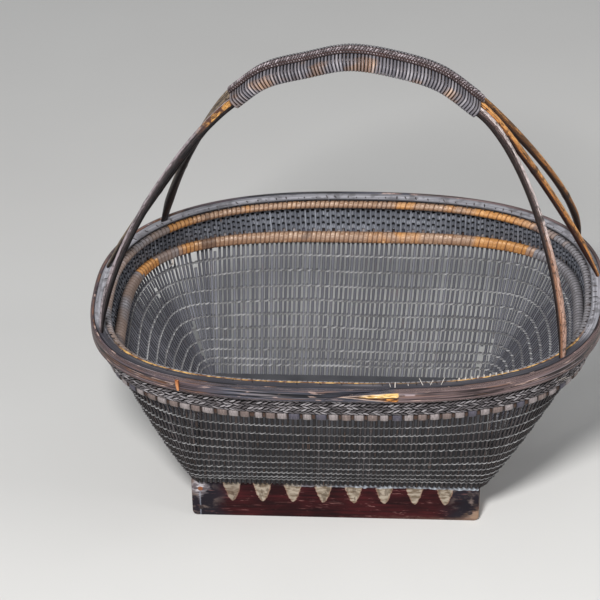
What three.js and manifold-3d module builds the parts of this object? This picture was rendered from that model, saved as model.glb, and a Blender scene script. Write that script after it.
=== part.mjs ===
// A handled basket of split cane on a wooden foot.
// Flat stakes rise from a rectangular foot to an oval mouth and are held by twined rows, the mouth is
// closed by lashed hoops, a plaited border and a broad rim strip, and three split canes make the handle.
// Millimetres, +Z up. The origin is on the ground under the middle of the mouth.

import * as THREE from "three";
import { mergeVertices } from "three/addons/utils/BufferGeometryUtils.js";
import Module from "manifold-3d";

const wasm = await Module();
wasm.setup();

// Driving dimensions of the foot
const footLength = 261;
const footDepth = 161.5;
const footHeight = 39;
const footOffset = -11;
const footSetForward = 2.65;
const boardThickness = 16;
const boardCornerRadius = 5;
const pegDiameter = 5;
const pegLength = 34;
const pegLow = 9;
const pegHigh = 30;

// Driving dimensions of the floor and the wall of stakes
const floorThickness = 4;
const wallOverhang = 3;
const wallShift = 3.5;
const stakeThickness = 1.4;
const stakeShare = 0.54;
const frontStakes = 57;
const backStakes = 61;
const sideStakes = 38;
const cornerStakes = 19;
const cornerCut = 7;
const wallBandHeight = 5.5;
const cornerBandHeight = 15;
const frontSpread = 1;
const backSpread = 15;
const sideSpread = 6.5;

// Driving dimensions of the twined rows
const rowCount = 10;
const lowestRow = 49.5;
const highestRow = 142;
const rowCrowding = 1.33;
const strandHeight = 2.2;
const strandThickness = 1.1;

// Driving dimensions of the mouth
const rimLength = 460;
const rimDepth = 321;
const rimSquareness = 2.66;
const rimLeftBend = -15;
const rimRightBend = -2;
const rimTop = 198.2;
const hoopInsetLength = 17.5;
const hoopInsetDepth = 15.5;
const hoopSquareness = 3.13;
const hoopRightBend = 10;
const hoopLevel = 161;
const outerHoopHeight = 7.4;
const innerHoopHeight = 9.6;
const innerHoopThickness = 9.2;
const hoopThickness = 4.4;
const upperHoopLevel = 192.4;
const upperHoopHeight = 7.2;
const flareTop = 183;
const stripHeight = 14.1;
const stripThickness = 3.4;
const scarfTip = -12;
const scarfLength = 56;
const scarfEdge = 0.4;
const stripEdge = 0.8;
const bandThickness = 1.8;
const bandTop = 195.9;
const braidThickness = 3.7;
const braidBulge = 1.7;
const braidEdge = 2;

// Driving dimensions of the handle
const gripLeft = -97;
const gripRight = 116;
const gripLeftHeight = 394.7;
const gripRightHeight = 389.2;
const gripTop = 435.7;
const gripPeak = 4;
const bowWidth = 10.4;
const bowThickness = 9;
const bowLegWidth = 9.6;
const bowLegThickness = 7.6;
const bowFootWidth = 8;
const bowTaper = 34;
const footSeat = 184.6;
const shortShoulder = 22;
const middleShoulder = 30;
const backShoulder = 16;
const longShoulder = 48;
const loopCount = 24;
const loopGap = 1.8;
const wrapThickness = 1.8;
const wrapBevel = 0.7;
const wrapSquareness = 5;
const ridgeWidth = 11;
const ridgeSetBack = 1.5;
const ridgeHeight = 4.2;

// Clearances between pieces that touch on the real basket
const gap = 0.3;
const panelMargin = 0.5;
const chordAllowance = 1.8;
const loopAllowance = 0.6;

// How finely the round forms are cut
const ringSides = 48;
const tableSteps = 2880;
const loopSteps = 12;
const gripSteps = 20;
const legSteps = 10;
const stakesPerSection = 10;
const cornerSections = 3;
const scarfSteps = 4;
const ridgeSteps = 30;
const pegSides = 8;

// Heights and offsets that follow from the driving dimensions
const wallBottom = footHeight + gap;
const stakeTop = hoopLevel - gap / 2;
const hoopLength = rimLength - 2 * hoopInsetLength;
const hoopDepth = rimDepth - 2 * hoopInsetDepth;
const frontArc = footLength + frontSpread;
const backArc = footLength + backSpread;
const sideArc = footDepth + sideSpread;
const bandInner = -bandThickness / 2;
const bandOuter = bandThickness / 2;
const braidInner = bandOuter + gap;
const braidOuter = braidInner + braidThickness;
const stripInner = braidOuter + gap;
const stripOuter = stripInner + stripThickness;
const rimHalfLength = rimLength / 2 - stripOuter;
const rimHalfDepth = rimDepth / 2 - stripOuter;
const baseHalfLength = footLength / 2 + wallOverhang;
const baseHalfDepth = footDepth / 2 + wallOverhang;
const wallRun = Math.max(
  hoopLength / 2 - baseHalfLength + Math.abs(footOffset + wallShift),
  hoopDepth / 2 - baseHalfDepth + footSetForward,
);
const wallLean = wallRun / (hoopLevel - wallBottom);

// One material for each piece
function finish(color, roughness, metalness = 0) {
  return new THREE.MeshStandardMaterial({ color, roughness, metalness });
}

// A closed body through rings of points, each ring with the same number of points.
// An open row of rings is capped at both ends by a fan. Each four-sided patch is divided along its
// shorter diagonal, so that neighbouring pieces with the same stations keep their faces parallel.
function loft(rings, closed) {
  const count = rings[0].length;
  const points = rings.flat();
  const positions = points.flatMap((p) => [p.x, p.y, p.z]);
  const index = [];
  const last = closed ? rings.length : rings.length - 1;
  for (let i = 0; i < last; i++) {
    const a = i * count;
    const b = ((i + 1) % rings.length) * count;
    for (let j = 0; j < count; j++) {
      const k = (j + 1) % count;
      if (points[a + j].distanceTo(points[b + k]) < points[a + k].distanceTo(points[b + j])) {
        index.push(a + j, a + k, b + k, a + j, b + k, b + j);
      } else {
        index.push(a + j, a + k, b + j, a + k, b + k, b + j);
      }
    }
  }
  if (!closed) {
    const end = (rings.length - 1) * count;
    for (let j = 1; j < count - 1; j++) {
      index.push(0, j + 1, j, end, end + j, end + j + 1);
    }
  }
  const geometry = new THREE.BufferGeometry();
  geometry.setAttribute("position", new THREE.Float32BufferAttribute(positions, 3));
  geometry.setIndex(index);
  return facingOut(geometry);
}

// Six times the signed volume of an indexed body
function signedVolume(geometry) {
  const p = geometry.getAttribute("position");
  const index = geometry.getIndex().array;
  const a = new THREE.Vector3();
  const b = new THREE.Vector3();
  const c = new THREE.Vector3();
  let volume = 0;
  for (let i = 0; i < index.length; i += 3) {
    a.fromBufferAttribute(p, index[i]);
    b.fromBufferAttribute(p, index[i + 1]);
    c.fromBufferAttribute(p, index[i + 2]);
    volume += a.dot(b.cross(c));
  }
  return volume;
}

// Turns a body's faces outward
function facingOut(geometry) {
  if (signedVolume(geometry) < 0) {
    geometry.setIndex(Array.from(geometry.getIndex().array).reverse());
  }
  return geometry;
}

// Joins shared corners, so that only positions are left
function welded(geometry) {
  const plain = geometry.clone();
  plain.deleteAttribute("normal");
  plain.deleteAttribute("uv");
  return facingOut(mergeVertices(plain, 1e-4));
}

function toManifold(geometry) {
  const body = welded(geometry);
  const vertProperties = new Float32Array(body.getAttribute("position").array);
  const triVerts = new Uint32Array(body.getIndex().array);
  return new wasm.Manifold(new wasm.Mesh({ numProp: 3, vertProperties, triVerts }));
}

function fromManifold(solid) {
  const mesh = solid.getMesh();
  const geometry = new THREE.BufferGeometry();
  geometry.setAttribute("position", new THREE.BufferAttribute(mesh.vertProperties, 3));
  geometry.setIndex(new THREE.BufferAttribute(mesh.triVerts, 1));
  return geometry;
}

// The body with every cutter taken out of it
function cut(geometry, cutters) {
  let solid = toManifold(geometry);
  for (const cutter of cutters) {
    solid = solid.subtract(toManifold(cutter));
  }
  return fromManifold(solid);
}

const basket = new THREE.Group();

function addPiece(name, geometry, material) {
  const mesh = new THREE.Mesh(geometry, material);
  mesh.name = name;
  basket.add(mesh);
  return mesh;
}

// Outline of the mouth.
// A squarish oval is laid out as a polygon whose corners lie evenly along its length, from the middle
// of the front towards +X, so that outlines of different levels correspond corner by corner. A made
// basket isn't quite even: its two ends are bent forward or back by a distance each.
function ovalPolygon(halfLength, halfDepth, squareness, leftBend, rightBend) {
  const fine = [];
  for (let i = 0; i <= tableSteps; i++) {
    const angle = -Math.PI / 2 + (2 * Math.PI * i) / tableSteps;
    const c = Math.cos(angle);
    const s = Math.sin(angle);
    const x = halfLength * Math.sign(c) * Math.abs(c) ** (2 / squareness);
    const y = halfDepth * Math.sign(s) * Math.abs(s) ** (2 / squareness);
    const bend = (x < 0 ? leftBend : rightBend) * (x / halfLength) ** 2;
    fine.push(new THREE.Vector2(x, y + bend));
  }
  const lengths = [0];
  for (let i = 1; i < fine.length; i++) {
    lengths.push(lengths[i - 1] + fine[i].distanceTo(fine[i - 1]));
  }
  const corners = [];
  let at = 0;
  for (let k = 0; k < ringSides; k++) {
    const wanted = (lengths[tableSteps] * k) / ringSides;
    while (lengths[at + 1] < wanted) {
      at += 1;
    }
    const share = (wanted - lengths[at]) / (lengths[at + 1] - lengths[at]);
    corners.push(fine[at].clone().lerp(fine[at + 1], share));
  }
  return corners;
}

// The polygon moved outward by a distance, its sides staying parallel
function offsetPolygon(corners, distance) {
  const count = corners.length;
  return corners.map((corner, i) => {
    const before = corner.clone().sub(corners[(i + count - 1) % count]).normalize();
    const after = corners[(i + 1) % count].clone().sub(corner).normalize();
    const miter = new THREE.Vector2(before.y + after.y, -before.x - after.x).normalize();
    const stretch = miter.x * after.y - miter.y * after.x;
    return corner.clone().addScaledVector(miter, distance / stretch);
  });
}

function polygonLength(corners) {
  const count = corners.length;
  return corners.reduce((sum, corner, i) => sum + corner.distanceTo(corners[(i + 1) % count]), 0);
}

const hoopOutline = ovalPolygon(hoopLength / 2, hoopDepth / 2, hoopSquareness, 0, hoopRightBend);
const rimOutline = ovalPolygon(rimHalfLength, rimHalfDepth, rimSquareness, rimLeftBend, rimRightBend);
const hoopGirth = polygonLength(hoopOutline);
const rimGirth = polygonLength(rimOutline);

// Corners of the collar at a height, moved outward by an offset.
// The collar flares from the hoops up to flareTop and stands upright above it.
function collarRing(z, offset) {
  const flare = THREE.MathUtils.clamp((z - hoopLevel) / (flareTop - hoopLevel), 0, 1);
  const inner = offsetPolygon(hoopOutline, offset);
  const outer = offsetPolygon(rimOutline, offset);
  return inner.map((corner, i) => {
    const p = corner.clone().lerp(outer[i], flare);
    return new THREE.Vector3(p.x, p.y, z);
  });
}

// A point of the collar at any share of the way round
function collarPoint(around, z, offset) {
  const ring = collarRing(z, offset);
  const place = THREE.MathUtils.euclideanModulo(around, 1) * ringSides;
  const i = Math.floor(place) % ringSides;
  return ring[i].clone().lerp(ring[(i + 1) % ringSides], place - Math.floor(place));
}

// Outward direction of the collar at a share of the way round
function collarNormal(around) {
  return collarPoint(around, rimTop, 1).sub(collarPoint(around, rimTop, 0)).normalize();
}

// A ring round the mouth with the same section everywhere, given as pairs of height and offset
function collarLoft(section) {
  const rings = section.map(([z, offset]) => collarRing(z, offset));
  const stations = rings[0].map((_, i) => rings.map((ring) => ring[i]));
  return loft(stations, true);
}

// Half-round section of a hoop that lies against the wall, bulging by a signed thickness.
// Below hoopLevel the wall leans inward, and a hoop inside it leans with it.
function hoopSection(level, height, seat, thickness) {
  const at = (z, offset) => [z, offset + Math.min(0, z - hoopLevel) * (thickness < 0 ? wallLean : 0)];
  const section = [at(level - height / 2, seat)];
  for (const angle of [0.16, 0.4, 0.6, 0.84]) {
    const z = level - (height / 2) * Math.cos(angle * Math.PI);
    section.push(at(z, seat + thickness * Math.sin(angle * Math.PI)));
  }
  section.push(at(level + height / 2, seat));
  if (level - height / 2 < hoopLevel && level + height / 2 > hoopLevel) {
    section.push(at(hoopLevel, seat));
  }
  return section;
}

// The wall.
// Eight panels go round the basket. Each has a straight foot between two points and a head along a
// stretch of the hoop's outline, and its stakes run straight from foot to head.
function basePoint(x, y) {
  return new THREE.Vector3(footOffset + wallShift + x, y - footSetForward, wallBottom);
}

function wallPanels() {
  const sideX = baseHalfLength;
  const sideY = baseHalfDepth;
  const cutX = sideX - cornerCut;
  const cutY = sideY - cornerCut;
  const front = frontArc / hoopGirth / 2;
  const back = backArc / hoopGirth / 2;
  const side = sideArc / hoopGirth / 2;
  return [
    ["front", frontStakes, [-cutX, -sideY], [cutX, -sideY], -front, front],
    ["front_right", cornerStakes, [cutX, -sideY], [sideX, -cutY], front, 0.25 - side],
    ["right", sideStakes, [sideX, -cutY], [sideX, cutY], 0.25 - side, 0.25 + side],
    ["back_right", cornerStakes, [sideX, cutY], [cutX, sideY], 0.25 + side, 0.5 - back],
    ["back", backStakes, [cutX, sideY], [-cutX, sideY], 0.5 - back, 0.5 + back],
    ["back_left", cornerStakes, [-cutX, sideY], [-sideX, cutY], 0.5 + back, 0.75 - side],
    ["left", sideStakes, [-sideX, cutY], [-sideX, -cutY], 0.75 - side, 0.75 + side],
    ["front_left", cornerStakes, [-sideX, -cutY], [-cutX, -sideY], 0.75 + side, 1 - front],
  ].map(([name, stakes, start, end, from, to]) => ({
    name,
    stakes,
    start: basePoint(...start),
    end: basePoint(...end),
    from,
    to,
    corner: name.includes("_"),
  }));
}

// A point on a panel: share of the way along it, share of the height, level offset outward
const hoopHead = collarRing(hoopLevel, 0);

function headPoint(around) {
  const place = THREE.MathUtils.euclideanModulo(around, 1) * ringSides;
  const i = Math.floor(place) % ringSides;
  const p = hoopHead[i].clone().lerp(hoopHead[(i + 1) % ringSides], place - Math.floor(place));
  p.z = stakeTop;
  return p;
}

function panelSurface(panel, along, rise) {
  const foot = panel.start.clone().lerp(panel.end, along);
  return foot.lerp(headPoint(panel.from + (panel.to - panel.from) * along), rise);
}

function panelPoint(panel, along, rise, offset) {
  const step = 0.02;
  const level = panelSurface(panel, along + step, rise).sub(panelSurface(panel, along - step, rise));
  const up = panelSurface(panel, along, 1).sub(panelSurface(panel, along, 0));
  const outward = level.cross(up).setZ(0).normalize();
  return panelSurface(panel, along, rise).addScaledVector(outward, offset);
}

// The stakes of a panel, held together at the foot by a band of close packing
function stakePanel(panel) {
  const width = panel.end.distanceTo(panel.start);
  const margin = Math.min(panelMargin / width, (1 - stakeShare) / panel.stakes / 2);
  const bandHeight = panel.corner ? cornerBandHeight : wallBandHeight;
  const bandRise = bandHeight / (stakeTop - wallBottom);
  const outline = new THREE.Shape();
  outline.moveTo(margin, 0);
  outline.lineTo(margin, bandRise);
  for (let i = 0; i < panel.stakes; i++) {
    const left = Math.max((i + 0.5 - stakeShare / 2) / panel.stakes, margin);
    const right = Math.min((i + 0.5 + stakeShare / 2) / panel.stakes, 1 - margin);
    outline.lineTo(left, bandRise);
    outline.lineTo(left, 1);
    outline.lineTo(right, 1);
    outline.lineTo(right, bandRise);
  }
  outline.lineTo(1 - margin, bandRise);
  outline.lineTo(1 - margin, 0);
  const options = { depth: stakeThickness, bevelEnabled: false, steps: 1 };
  const sheet = new THREE.ExtrudeGeometry(outline, options);
  const position = sheet.getAttribute("position");
  for (let i = 0; i < position.count; i++) {
    const offset = position.getZ(i) - stakeThickness / 2;
    const p = panelPoint(panel, position.getX(i), position.getY(i), offset);
    position.setXYZ(i, p.x, p.y, p.z);
  }
  return welded(sheet);
}

// A strand that goes round the whole wall at one height, outside or inside the stakes
function rowStrand(panels, height, side) {
  const share = (height - wallBottom) / (stakeTop - wallBottom);
  const slack = side > 0 ? chordAllowance * share : gap;
  const near = stakeThickness / 2 + gap + slack;
  const far = near + strandThickness;
  const ring = (z, offset) => {
    const rise = (z - wallBottom) / (stakeTop - wallBottom);
    const corners = panels.flatMap((panel) => {
      const sections = panel.corner ? cornerSections : Math.round(panel.stakes / stakesPerSection);
      return Array.from({ length: sections }, (_, i) => {
        const p = panelSurface(panel, i / sections, rise);
        return new THREE.Vector2(p.x, p.y);
      });
    });
    return offsetPolygon(corners, offset).map((p) => new THREE.Vector3(p.x, p.y, z));
  };
  const low = height - strandHeight / 2;
  const high = height + strandHeight / 2;
  const rings = [ring(low, side * near), ring(height, side * far), ring(high, side * near)];
  return loft(rings[0].map((_, i) => rings.map((corners) => corners[i])), true);
}

function rowHeight(i) {
  const share = (i / (rowCount - 1)) ** rowCrowding;
  return lowestRow + (highestRow - lowestRow) * share;
}

function buildWall() {
  const panels = wallPanels();
  for (const panel of panels) {
    addPiece(`${panel.name}_stakes`, stakePanel(panel), finish(0x6f7076, 0.75));
  }
  for (let i = 0; i < rowCount; i++) {
    const label = String(i + 1).padStart(2, "0");
    const height = rowHeight(i);
    addPiece(`row_${label}_outer_strand`, rowStrand(panels, height, 1), finish(0x8c8f97, 0.7));
    addPiece(`row_${label}_inner_strand`, rowStrand(panels, height, -1), finish(0x858891, 0.7));
  }
}

// The foot: front and back boards lap the ends of the side boards and are pegged to them
function footBoardShape(length, radius) {
  const half = length / 2;
  const shape = new THREE.Shape();
  shape.moveTo(-half, footHeight);
  shape.lineTo(-half, radius);
  shape.quadraticCurveTo(-half, 0, -half + radius, 0);
  shape.lineTo(half - radius, 0);
  shape.quadraticCurveTo(half, 0, half, radius);
  shape.lineTo(half, footHeight);
  return shape;
}

function standingBoard(length, radius) {
  const options = { depth: boardThickness, bevelEnabled: false, curveSegments: 4 };
  const board = new THREE.ExtrudeGeometry(footBoardShape(length, radius), options);
  board.rotateX(Math.PI / 2);
  board.translate(0, boardThickness / 2, 0);
  return board;
}

function pegPlaces() {
  const places = [];
  for (const front of [-1, 1]) {
    for (const side of [-1, 1]) {
      for (const height of [pegLow, pegHigh]) {
        places.push({ front, side, height });
      }
    }
  }
  return places;
}

function pegBody(place, clearance) {
  const radius = pegDiameter / 2 + clearance;
  const body = new THREE.CylinderGeometry(radius, radius, pegLength + 2 * clearance, pegSides);
  const x = footOffset + place.side * (footLength - boardThickness) / 2;
  const y = place.front * (footDepth - pegLength) / 2 - footSetForward;
  body.translate(x, y, place.height);
  return body;
}

function buildFoot() {
  const bores = pegPlaces().map((place) => pegBody(place, gap));
  const lacquer = () => finish(0x4a1a18, 0.5);
  for (const [name, front] of [["foot_front_board", -1], ["foot_back_board", 1]]) {
    const board = standingBoard(footLength, boardCornerRadius);
    board.translate(footOffset, front * (footDepth - boardThickness) / 2 - footSetForward, 0);
    addPiece(name, cut(board, bores), lacquer());
  }
  for (const [name, side] of [["foot_left_board", -1], ["foot_right_board", 1]]) {
    const board = standingBoard(footDepth - 2 * (boardThickness + gap), gap);
    board.rotateZ(Math.PI / 2);
    board.translate(footOffset + side * (footLength - boardThickness) / 2, -footSetForward, 0);
    addPiece(name, cut(board, bores), lacquer());
  }
  pegPlaces().forEach((place) => {
    const end = place.front < 0 ? "front" : "back";
    const side = place.side < 0 ? "left" : "right";
    const level = place.height === pegLow ? "lower" : "upper";
    addPiece(`foot_peg_${end}_${side}_${level}`, pegBody(place, 0), finish(0xa0713c, 0.6));
  });
}

// The floor: one thin board inside the feet of the stakes
function buildFloor() {
  const x = baseHalfLength - stakeThickness / 2 - 2 * gap;
  const y = baseHalfDepth - stakeThickness / 2 - 2 * gap;
  const c = cornerCut;
  const outline = new THREE.Shape();
  outline.moveTo(-x + c, -y);
  outline.lineTo(x - c, -y);
  outline.lineTo(x, -y + c);
  outline.lineTo(x, y - c);
  outline.lineTo(x - c, y);
  outline.lineTo(-x + c, y);
  outline.lineTo(-x, y - c);
  outline.lineTo(-x, -y + c);
  const board = new THREE.ExtrudeGeometry(outline, { depth: floorThickness, bevelEnabled: false });
  board.translate(footOffset + wallShift, -footSetForward, wallBottom);
  addPiece("floor_board", board, finish(0x4b5058, 0.6));
}

// The handle's feet: where each cane enters the rim, as a share of the way round, and how its leg bends
const bowFeet = {
  front: {
    left: { around: 0.806, shoulder: longShoulder, lean: 0.07, rise: 0.45 },
    right: { around: 0.163, shoulder: longShoulder, lean: -0.02, rise: 0.45 },
  },
  middle: {
    left: { around: 0.722, shoulder: shortShoulder, lean: 0.25, rise: 0.3 },
    right: { around: 0.272, shoulder: middleShoulder, lean: 0.22, rise: 0.32 },
  },
  back: {
    left: { around: 0.65, shoulder: shortShoulder, lean: 0.18, rise: 0.34 },
    right: { around: 0.32, shoulder: backShoulder, lean: -0.1, rise: 0.22 },
  },
};
const bowRows = { front: -1, middle: 0, back: 1 };
const footOffsetOut = (braidInner + braidOuter) / 2;

// Centre line of the grip, the same for all three canes but for their place across it
function gripCurve() {
  const leftSpan = gripPeak - gripLeft;
  const rightSpan = gripRight - gripPeak;
  const leftDrop = gripTop - gripLeftHeight;
  const rightDrop = gripTop - gripRightHeight;
  return new THREE.CatmullRomCurve3([
    new THREE.Vector3(gripLeft, 0, gripLeftHeight),
    new THREE.Vector3(gripPeak - leftSpan * 0.72, 0, gripTop - leftDrop * 0.46),
    new THREE.Vector3(gripPeak - leftSpan * 0.36, 0, gripTop - leftDrop * 0.19),
    new THREE.Vector3(gripPeak, 0, gripTop),
    new THREE.Vector3(gripPeak + rightSpan * 0.36, 0, gripTop - rightDrop * 0.13),
    new THREE.Vector3(gripPeak + rightSpan * 0.7, 0, gripTop - rightDrop * 0.42),
    new THREE.Vector3(gripRight, 0, gripRightHeight),
  ]);
}

const grip = gripCurve();

// Stations of a cane: its centre, the direction across it and its size there
function bowStations(name) {
  const across = bowRows[name] * (bowWidth + gap);
  const leg = (side) => {
    const foot = bowFeet[name][side];
    const atLeft = side === "left";
    const head = grip.getPoint(atLeft ? 0 : 1).setY(across);
    const run = grip.getTangent(atLeft ? 0 : 1).multiplyScalar(atLeft ? -1 : 1);
    const seat = collarPoint(foot.around, footSeat, footOffsetOut);
    const entry = collarPoint(foot.around, rimTop - gap, footOffsetOut);
    const lower = entry.clone();
    lower.x += (head.x - entry.x) * foot.lean;
    lower.y += (head.y - entry.y) * foot.lean;
    lower.z += (head.z - entry.z) * foot.rise;
    const upper = head.clone().addScaledVector(run, foot.shoulder);
    const curve = new THREE.CubicBezierCurve3(entry, lower, upper, head);
    const normal = collarNormal(foot.around);
    const rimWise = new THREE.Vector3(-normal.y, normal.x, 0);
    if (rimWise.y < 0) {
      rimWise.negate();
    }
    const stations = [];
    const footSize = { width: bowFootWidth, thickness: braidThickness };
    stations.push({ at: seat, wide: rimWise, run: new THREE.Vector3(0, 0, 1), ...footSize });
    for (let i = 0; i < legSteps; i++) {
      const t = i / legSteps;
      const at = curve.getPoint(t);
      const blend = THREE.MathUtils.smoothstep(t, 0, 0.8);
      const swell = THREE.MathUtils.smoothstep(at.distanceTo(entry), 0, bowTaper);
      const towardGrip = THREE.MathUtils.smoothstep(t, 0.6, 1);
      const width = THREE.MathUtils.lerp(bowLegWidth, bowWidth, towardGrip);
      const thickness = THREE.MathUtils.lerp(bowLegThickness, bowThickness, towardGrip);
      stations.push({
        at,
        run: i === 0 ? new THREE.Vector3(0, 0, 1) : curve.getTangent(t),
        wide: rimWise.clone().lerp(new THREE.Vector3(0, 1, 0), blend),
        width: THREE.MathUtils.lerp(bowFootWidth, width, swell),
        thickness: THREE.MathUtils.lerp(braidThickness, thickness, swell),
      });
    }
    return stations;
  };
  const middle = [];
  for (let i = 0; i <= gripSteps; i++) {
    middle.push({
      at: grip.getPoint(i / gripSteps).setY(across),
      run: grip.getTangent(i / gripSteps),
      wide: new THREE.Vector3(0, 1, 0),
      width: bowWidth,
      thickness: bowThickness,
    });
  }
  const right = leg("right").reverse();
  right.forEach((station) => station.run.negate());
  return [...leg("left"), ...middle, ...right];
}

// Section of a split cane: rounded above, flatter below
const caneSection = [
  [0.5, -0.12], [0.4, 0.27], [0.16, 0.5], [-0.16, 0.5],
  [-0.4, 0.27], [-0.5, -0.12], [-0.3, -0.5], [0.3, -0.5],
];

function caneLoft(stations) {
  return loft(stations.map(({ at, run, wide, width, thickness }) => {
    const out = wide.clone().cross(run).normalize();
    const side = run.clone().cross(out).normalize();
    return caneSection.map(([w, t]) => {
      const p = at.clone().addScaledVector(side, w * width);
      return p.addScaledVector(out, -t * thickness);
    });
  }), false);
}

// The mouth: hoops, plaited band, border braid and rim strip
function bowPockets() {
  const cutters = [];
  for (const name of Object.keys(bowRows)) {
    for (const side of ["left", "right"]) {
      const { around } = bowFeet[name][side];
      const width = bowFootWidth + 2 * gap;
      const height = rimTop - footSeat + gap;
      const pocket = new THREE.BoxGeometry(3 * braidThickness, width, height);
      const normal = collarNormal(around);
      pocket.rotateZ(Math.atan2(normal.y, normal.x));
      const centre = collarPoint(around, rimTop, footOffsetOut);
      pocket.translate(centre.x, centre.y, footSeat - gap + height / 2);
      cutters.push(pocket);
    }
  }
  return cutters;
}

// The rim strip is one flat cane. Both ends are pared to a long scarf, and the outer end, which comes
// from the right, is cut to a point that lies over the start.
function rimStrip() {
  const low = rimTop - stripHeight;
  const start = (scarfTip + scarfLength) / rimGirth;
  const stop = scarfTip / rimGirth - 1;
  const scarf = scarfLength / rimGirth;
  const pared = stripThickness - 2 * scarfEdge - gap;
  const places = [];
  for (let k = Math.floor(start * ringSides); k / ringSides > stop; k--) {
    places.push(k / ringSides);
  }
  for (let i = 0; i <= scarfSteps; i++) {
    places.push(start - (scarf * i) / scarfSteps, stop + (scarf * i) / scarfSteps);
  }
  places.sort((a, b) => b - a);
  const closest = gap / 2 / rimGirth;
  const apart = places.filter((place, i) => i === 0 || places[i - 1] - place > closest);
  const stations = apart.map((around) => {
    const fromStart = (start - around) / scarf;
    const fromStop = (around - stop) / scarf;
    let inner = stripInner;
    let outer = stripOuter;
    let top = rimTop;
    let bottom = low;
    if (fromStart <= 1) {
      outer = stripInner + scarfEdge + pared * fromStart;
    }
    if (fromStop <= 1) {
      inner = stripOuter - scarfEdge - pared * fromStop;
      const point = 1 - fromStop ** 0.8;
      top = rimTop - (stripHeight * 0.78) * point;
      bottom = low + (stripHeight * 0.12) * point;
    }
    const edge = Math.min(stripEdge, (outer - inner) / 3);
    const section = [
      [bottom, inner], [bottom, outer - edge], [bottom + edge, outer],
      [top - edge, outer], [top, outer - edge], [top, inner],
    ];
    return section.map(([z, offset]) => collarPoint(around, z, offset));
  });
  return loft(stations, false);
}

function buildMouth() {
  const outside = Math.max(stakeThickness, bandThickness) / 2 + gap;
  const outerHoop = hoopSection(hoopLevel, outerHoopHeight, outside, hoopThickness);
  const innerHoop = hoopSection(hoopLevel, innerHoopHeight, -outside - gap / 2, -innerHoopThickness);
  const upperHoop = hoopSection(upperHoopLevel, upperHoopHeight, bandInner - gap, -innerHoopThickness);
  addPiece("lower_outer_hoop", collarLoft(outerHoop), finish(0x6b5a45, 0.6));
  addPiece("lower_inner_hoop", collarLoft(innerHoop), finish(0x8a6236, 0.5));
  addPiece("upper_inner_hoop", collarLoft(upperHoop), finish(0x8a6236, 0.5));

  const bandLow = hoopLevel + gap / 2;
  const braidLow = hoopLevel + outerHoopHeight / 2 + gap;
  addPiece("collar_band", collarLoft([
    [bandLow, bandInner + gap / 2], [flareTop, bandInner], [bandTop, bandInner],
    [bandTop, bandOuter], [flareTop, bandOuter], [braidLow, bandOuter],
    [bandLow, bandOuter - gap / 2],
  ]), finish(0x6a6c72, 0.8));

  const stripLow = rimTop - stripHeight;
  const braid = collarLoft([
    [braidLow, braidInner], [flareTop, braidInner], [bandTop, braidInner], [bandTop, braidOuter],
    [stripLow - gap, braidOuter], [stripLow - braidEdge, braidOuter + braidBulge],
    [braidLow + braidEdge, braidOuter + braidBulge], [braidLow, braidOuter],
  ]);
  addPiece("border_braid", cut(braid, bowPockets()), finish(0x5e5c5e, 0.8));
  addPiece("rim_strip", rimStrip(), finish(0x2b2a2f, 0.4));
}

// Winding of the grip.
// One unbroken flat strand goes round the three canes. Each modelled loop stands for the group of
// narrow turns that lie side by side there.
function gripFrame(t) {
  const run = grip.getTangentAt(t);
  const across = new THREE.Vector3(0, 1, 0);
  const up = run.clone().cross(across).normalize();
  return { at: grip.getPointAt(t), run, across, up };
}

function gripWinding() {
  const halfAcross = 1.5 * bowWidth + 2 * gap + loopAllowance + wrapThickness / 2;
  const halfUp = bowThickness / 2 + gap + loopAllowance + wrapThickness / 2;
  const length = grip.getLength();
  const pitch = length / loopCount;
  const width = pitch - loopGap;
  const half = width / 2;
  const steps = loopCount * loopSteps;
  const strand = [
    [-half, 0], [-half + wrapBevel, 0.5], [half - wrapBevel, 0.5],
    [half, 0], [half - wrapBevel, -0.5], [-half + wrapBevel, -0.5],
  ];
  const usable = 1 - width / length;
  const stations = [];
  for (let i = 0; i <= steps; i++) {
    const angle = -Math.PI / 2 + (2 * Math.PI * (i + 0.5)) / loopSteps;
    const c = Math.cos(angle);
    const s = Math.sin(angle);
    const y = halfAcross * Math.sign(c) * Math.abs(c) ** (2 / wrapSquareness);
    const z = halfUp * Math.sign(s) * Math.abs(s) ** (2 / wrapSquareness);
    const t = half / length + (usable * i) / steps;
    const { at, run, across, up } = gripFrame(t);
    const ny = Math.sign(c) * Math.abs(y / halfAcross) ** (wrapSquareness - 1) / halfAcross;
    const nz = Math.sign(s) * Math.abs(z / halfUp) ** (wrapSquareness - 1) / halfUp;
    const out = across.clone().multiplyScalar(ny).addScaledVector(up, nz).normalize();
    const centre = at.clone().addScaledVector(across, y).addScaledVector(up, z);
    stations.push({ centre, run, out });
  }
  const tail = (end, next) => {
    const away = end.centre.clone().sub(next.centre).normalize();
    const flat = away.addScaledVector(end.out, -away.dot(end.out)).normalize();
    return { ...end, centre: end.centre.clone().addScaledVector(flat, wrapThickness) };
  };
  stations.unshift(tail(stations[0], stations[1]));
  stations.push(tail(stations[stations.length - 1], stations[stations.length - 2]));
  const rings = stations.map(({ centre, run, out }) => strand.map(([w, t]) => {
    const p = centre.clone().addScaledVector(run, w);
    return p.addScaledVector(out, t * wrapThickness);
  }));
  const least = leastSelfGap(rings, loopSteps / 2);
  console.log(`grip winding: least gap between its loops ${least.toFixed(2)} mm`);
  return loft(rings, false);
}

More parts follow.
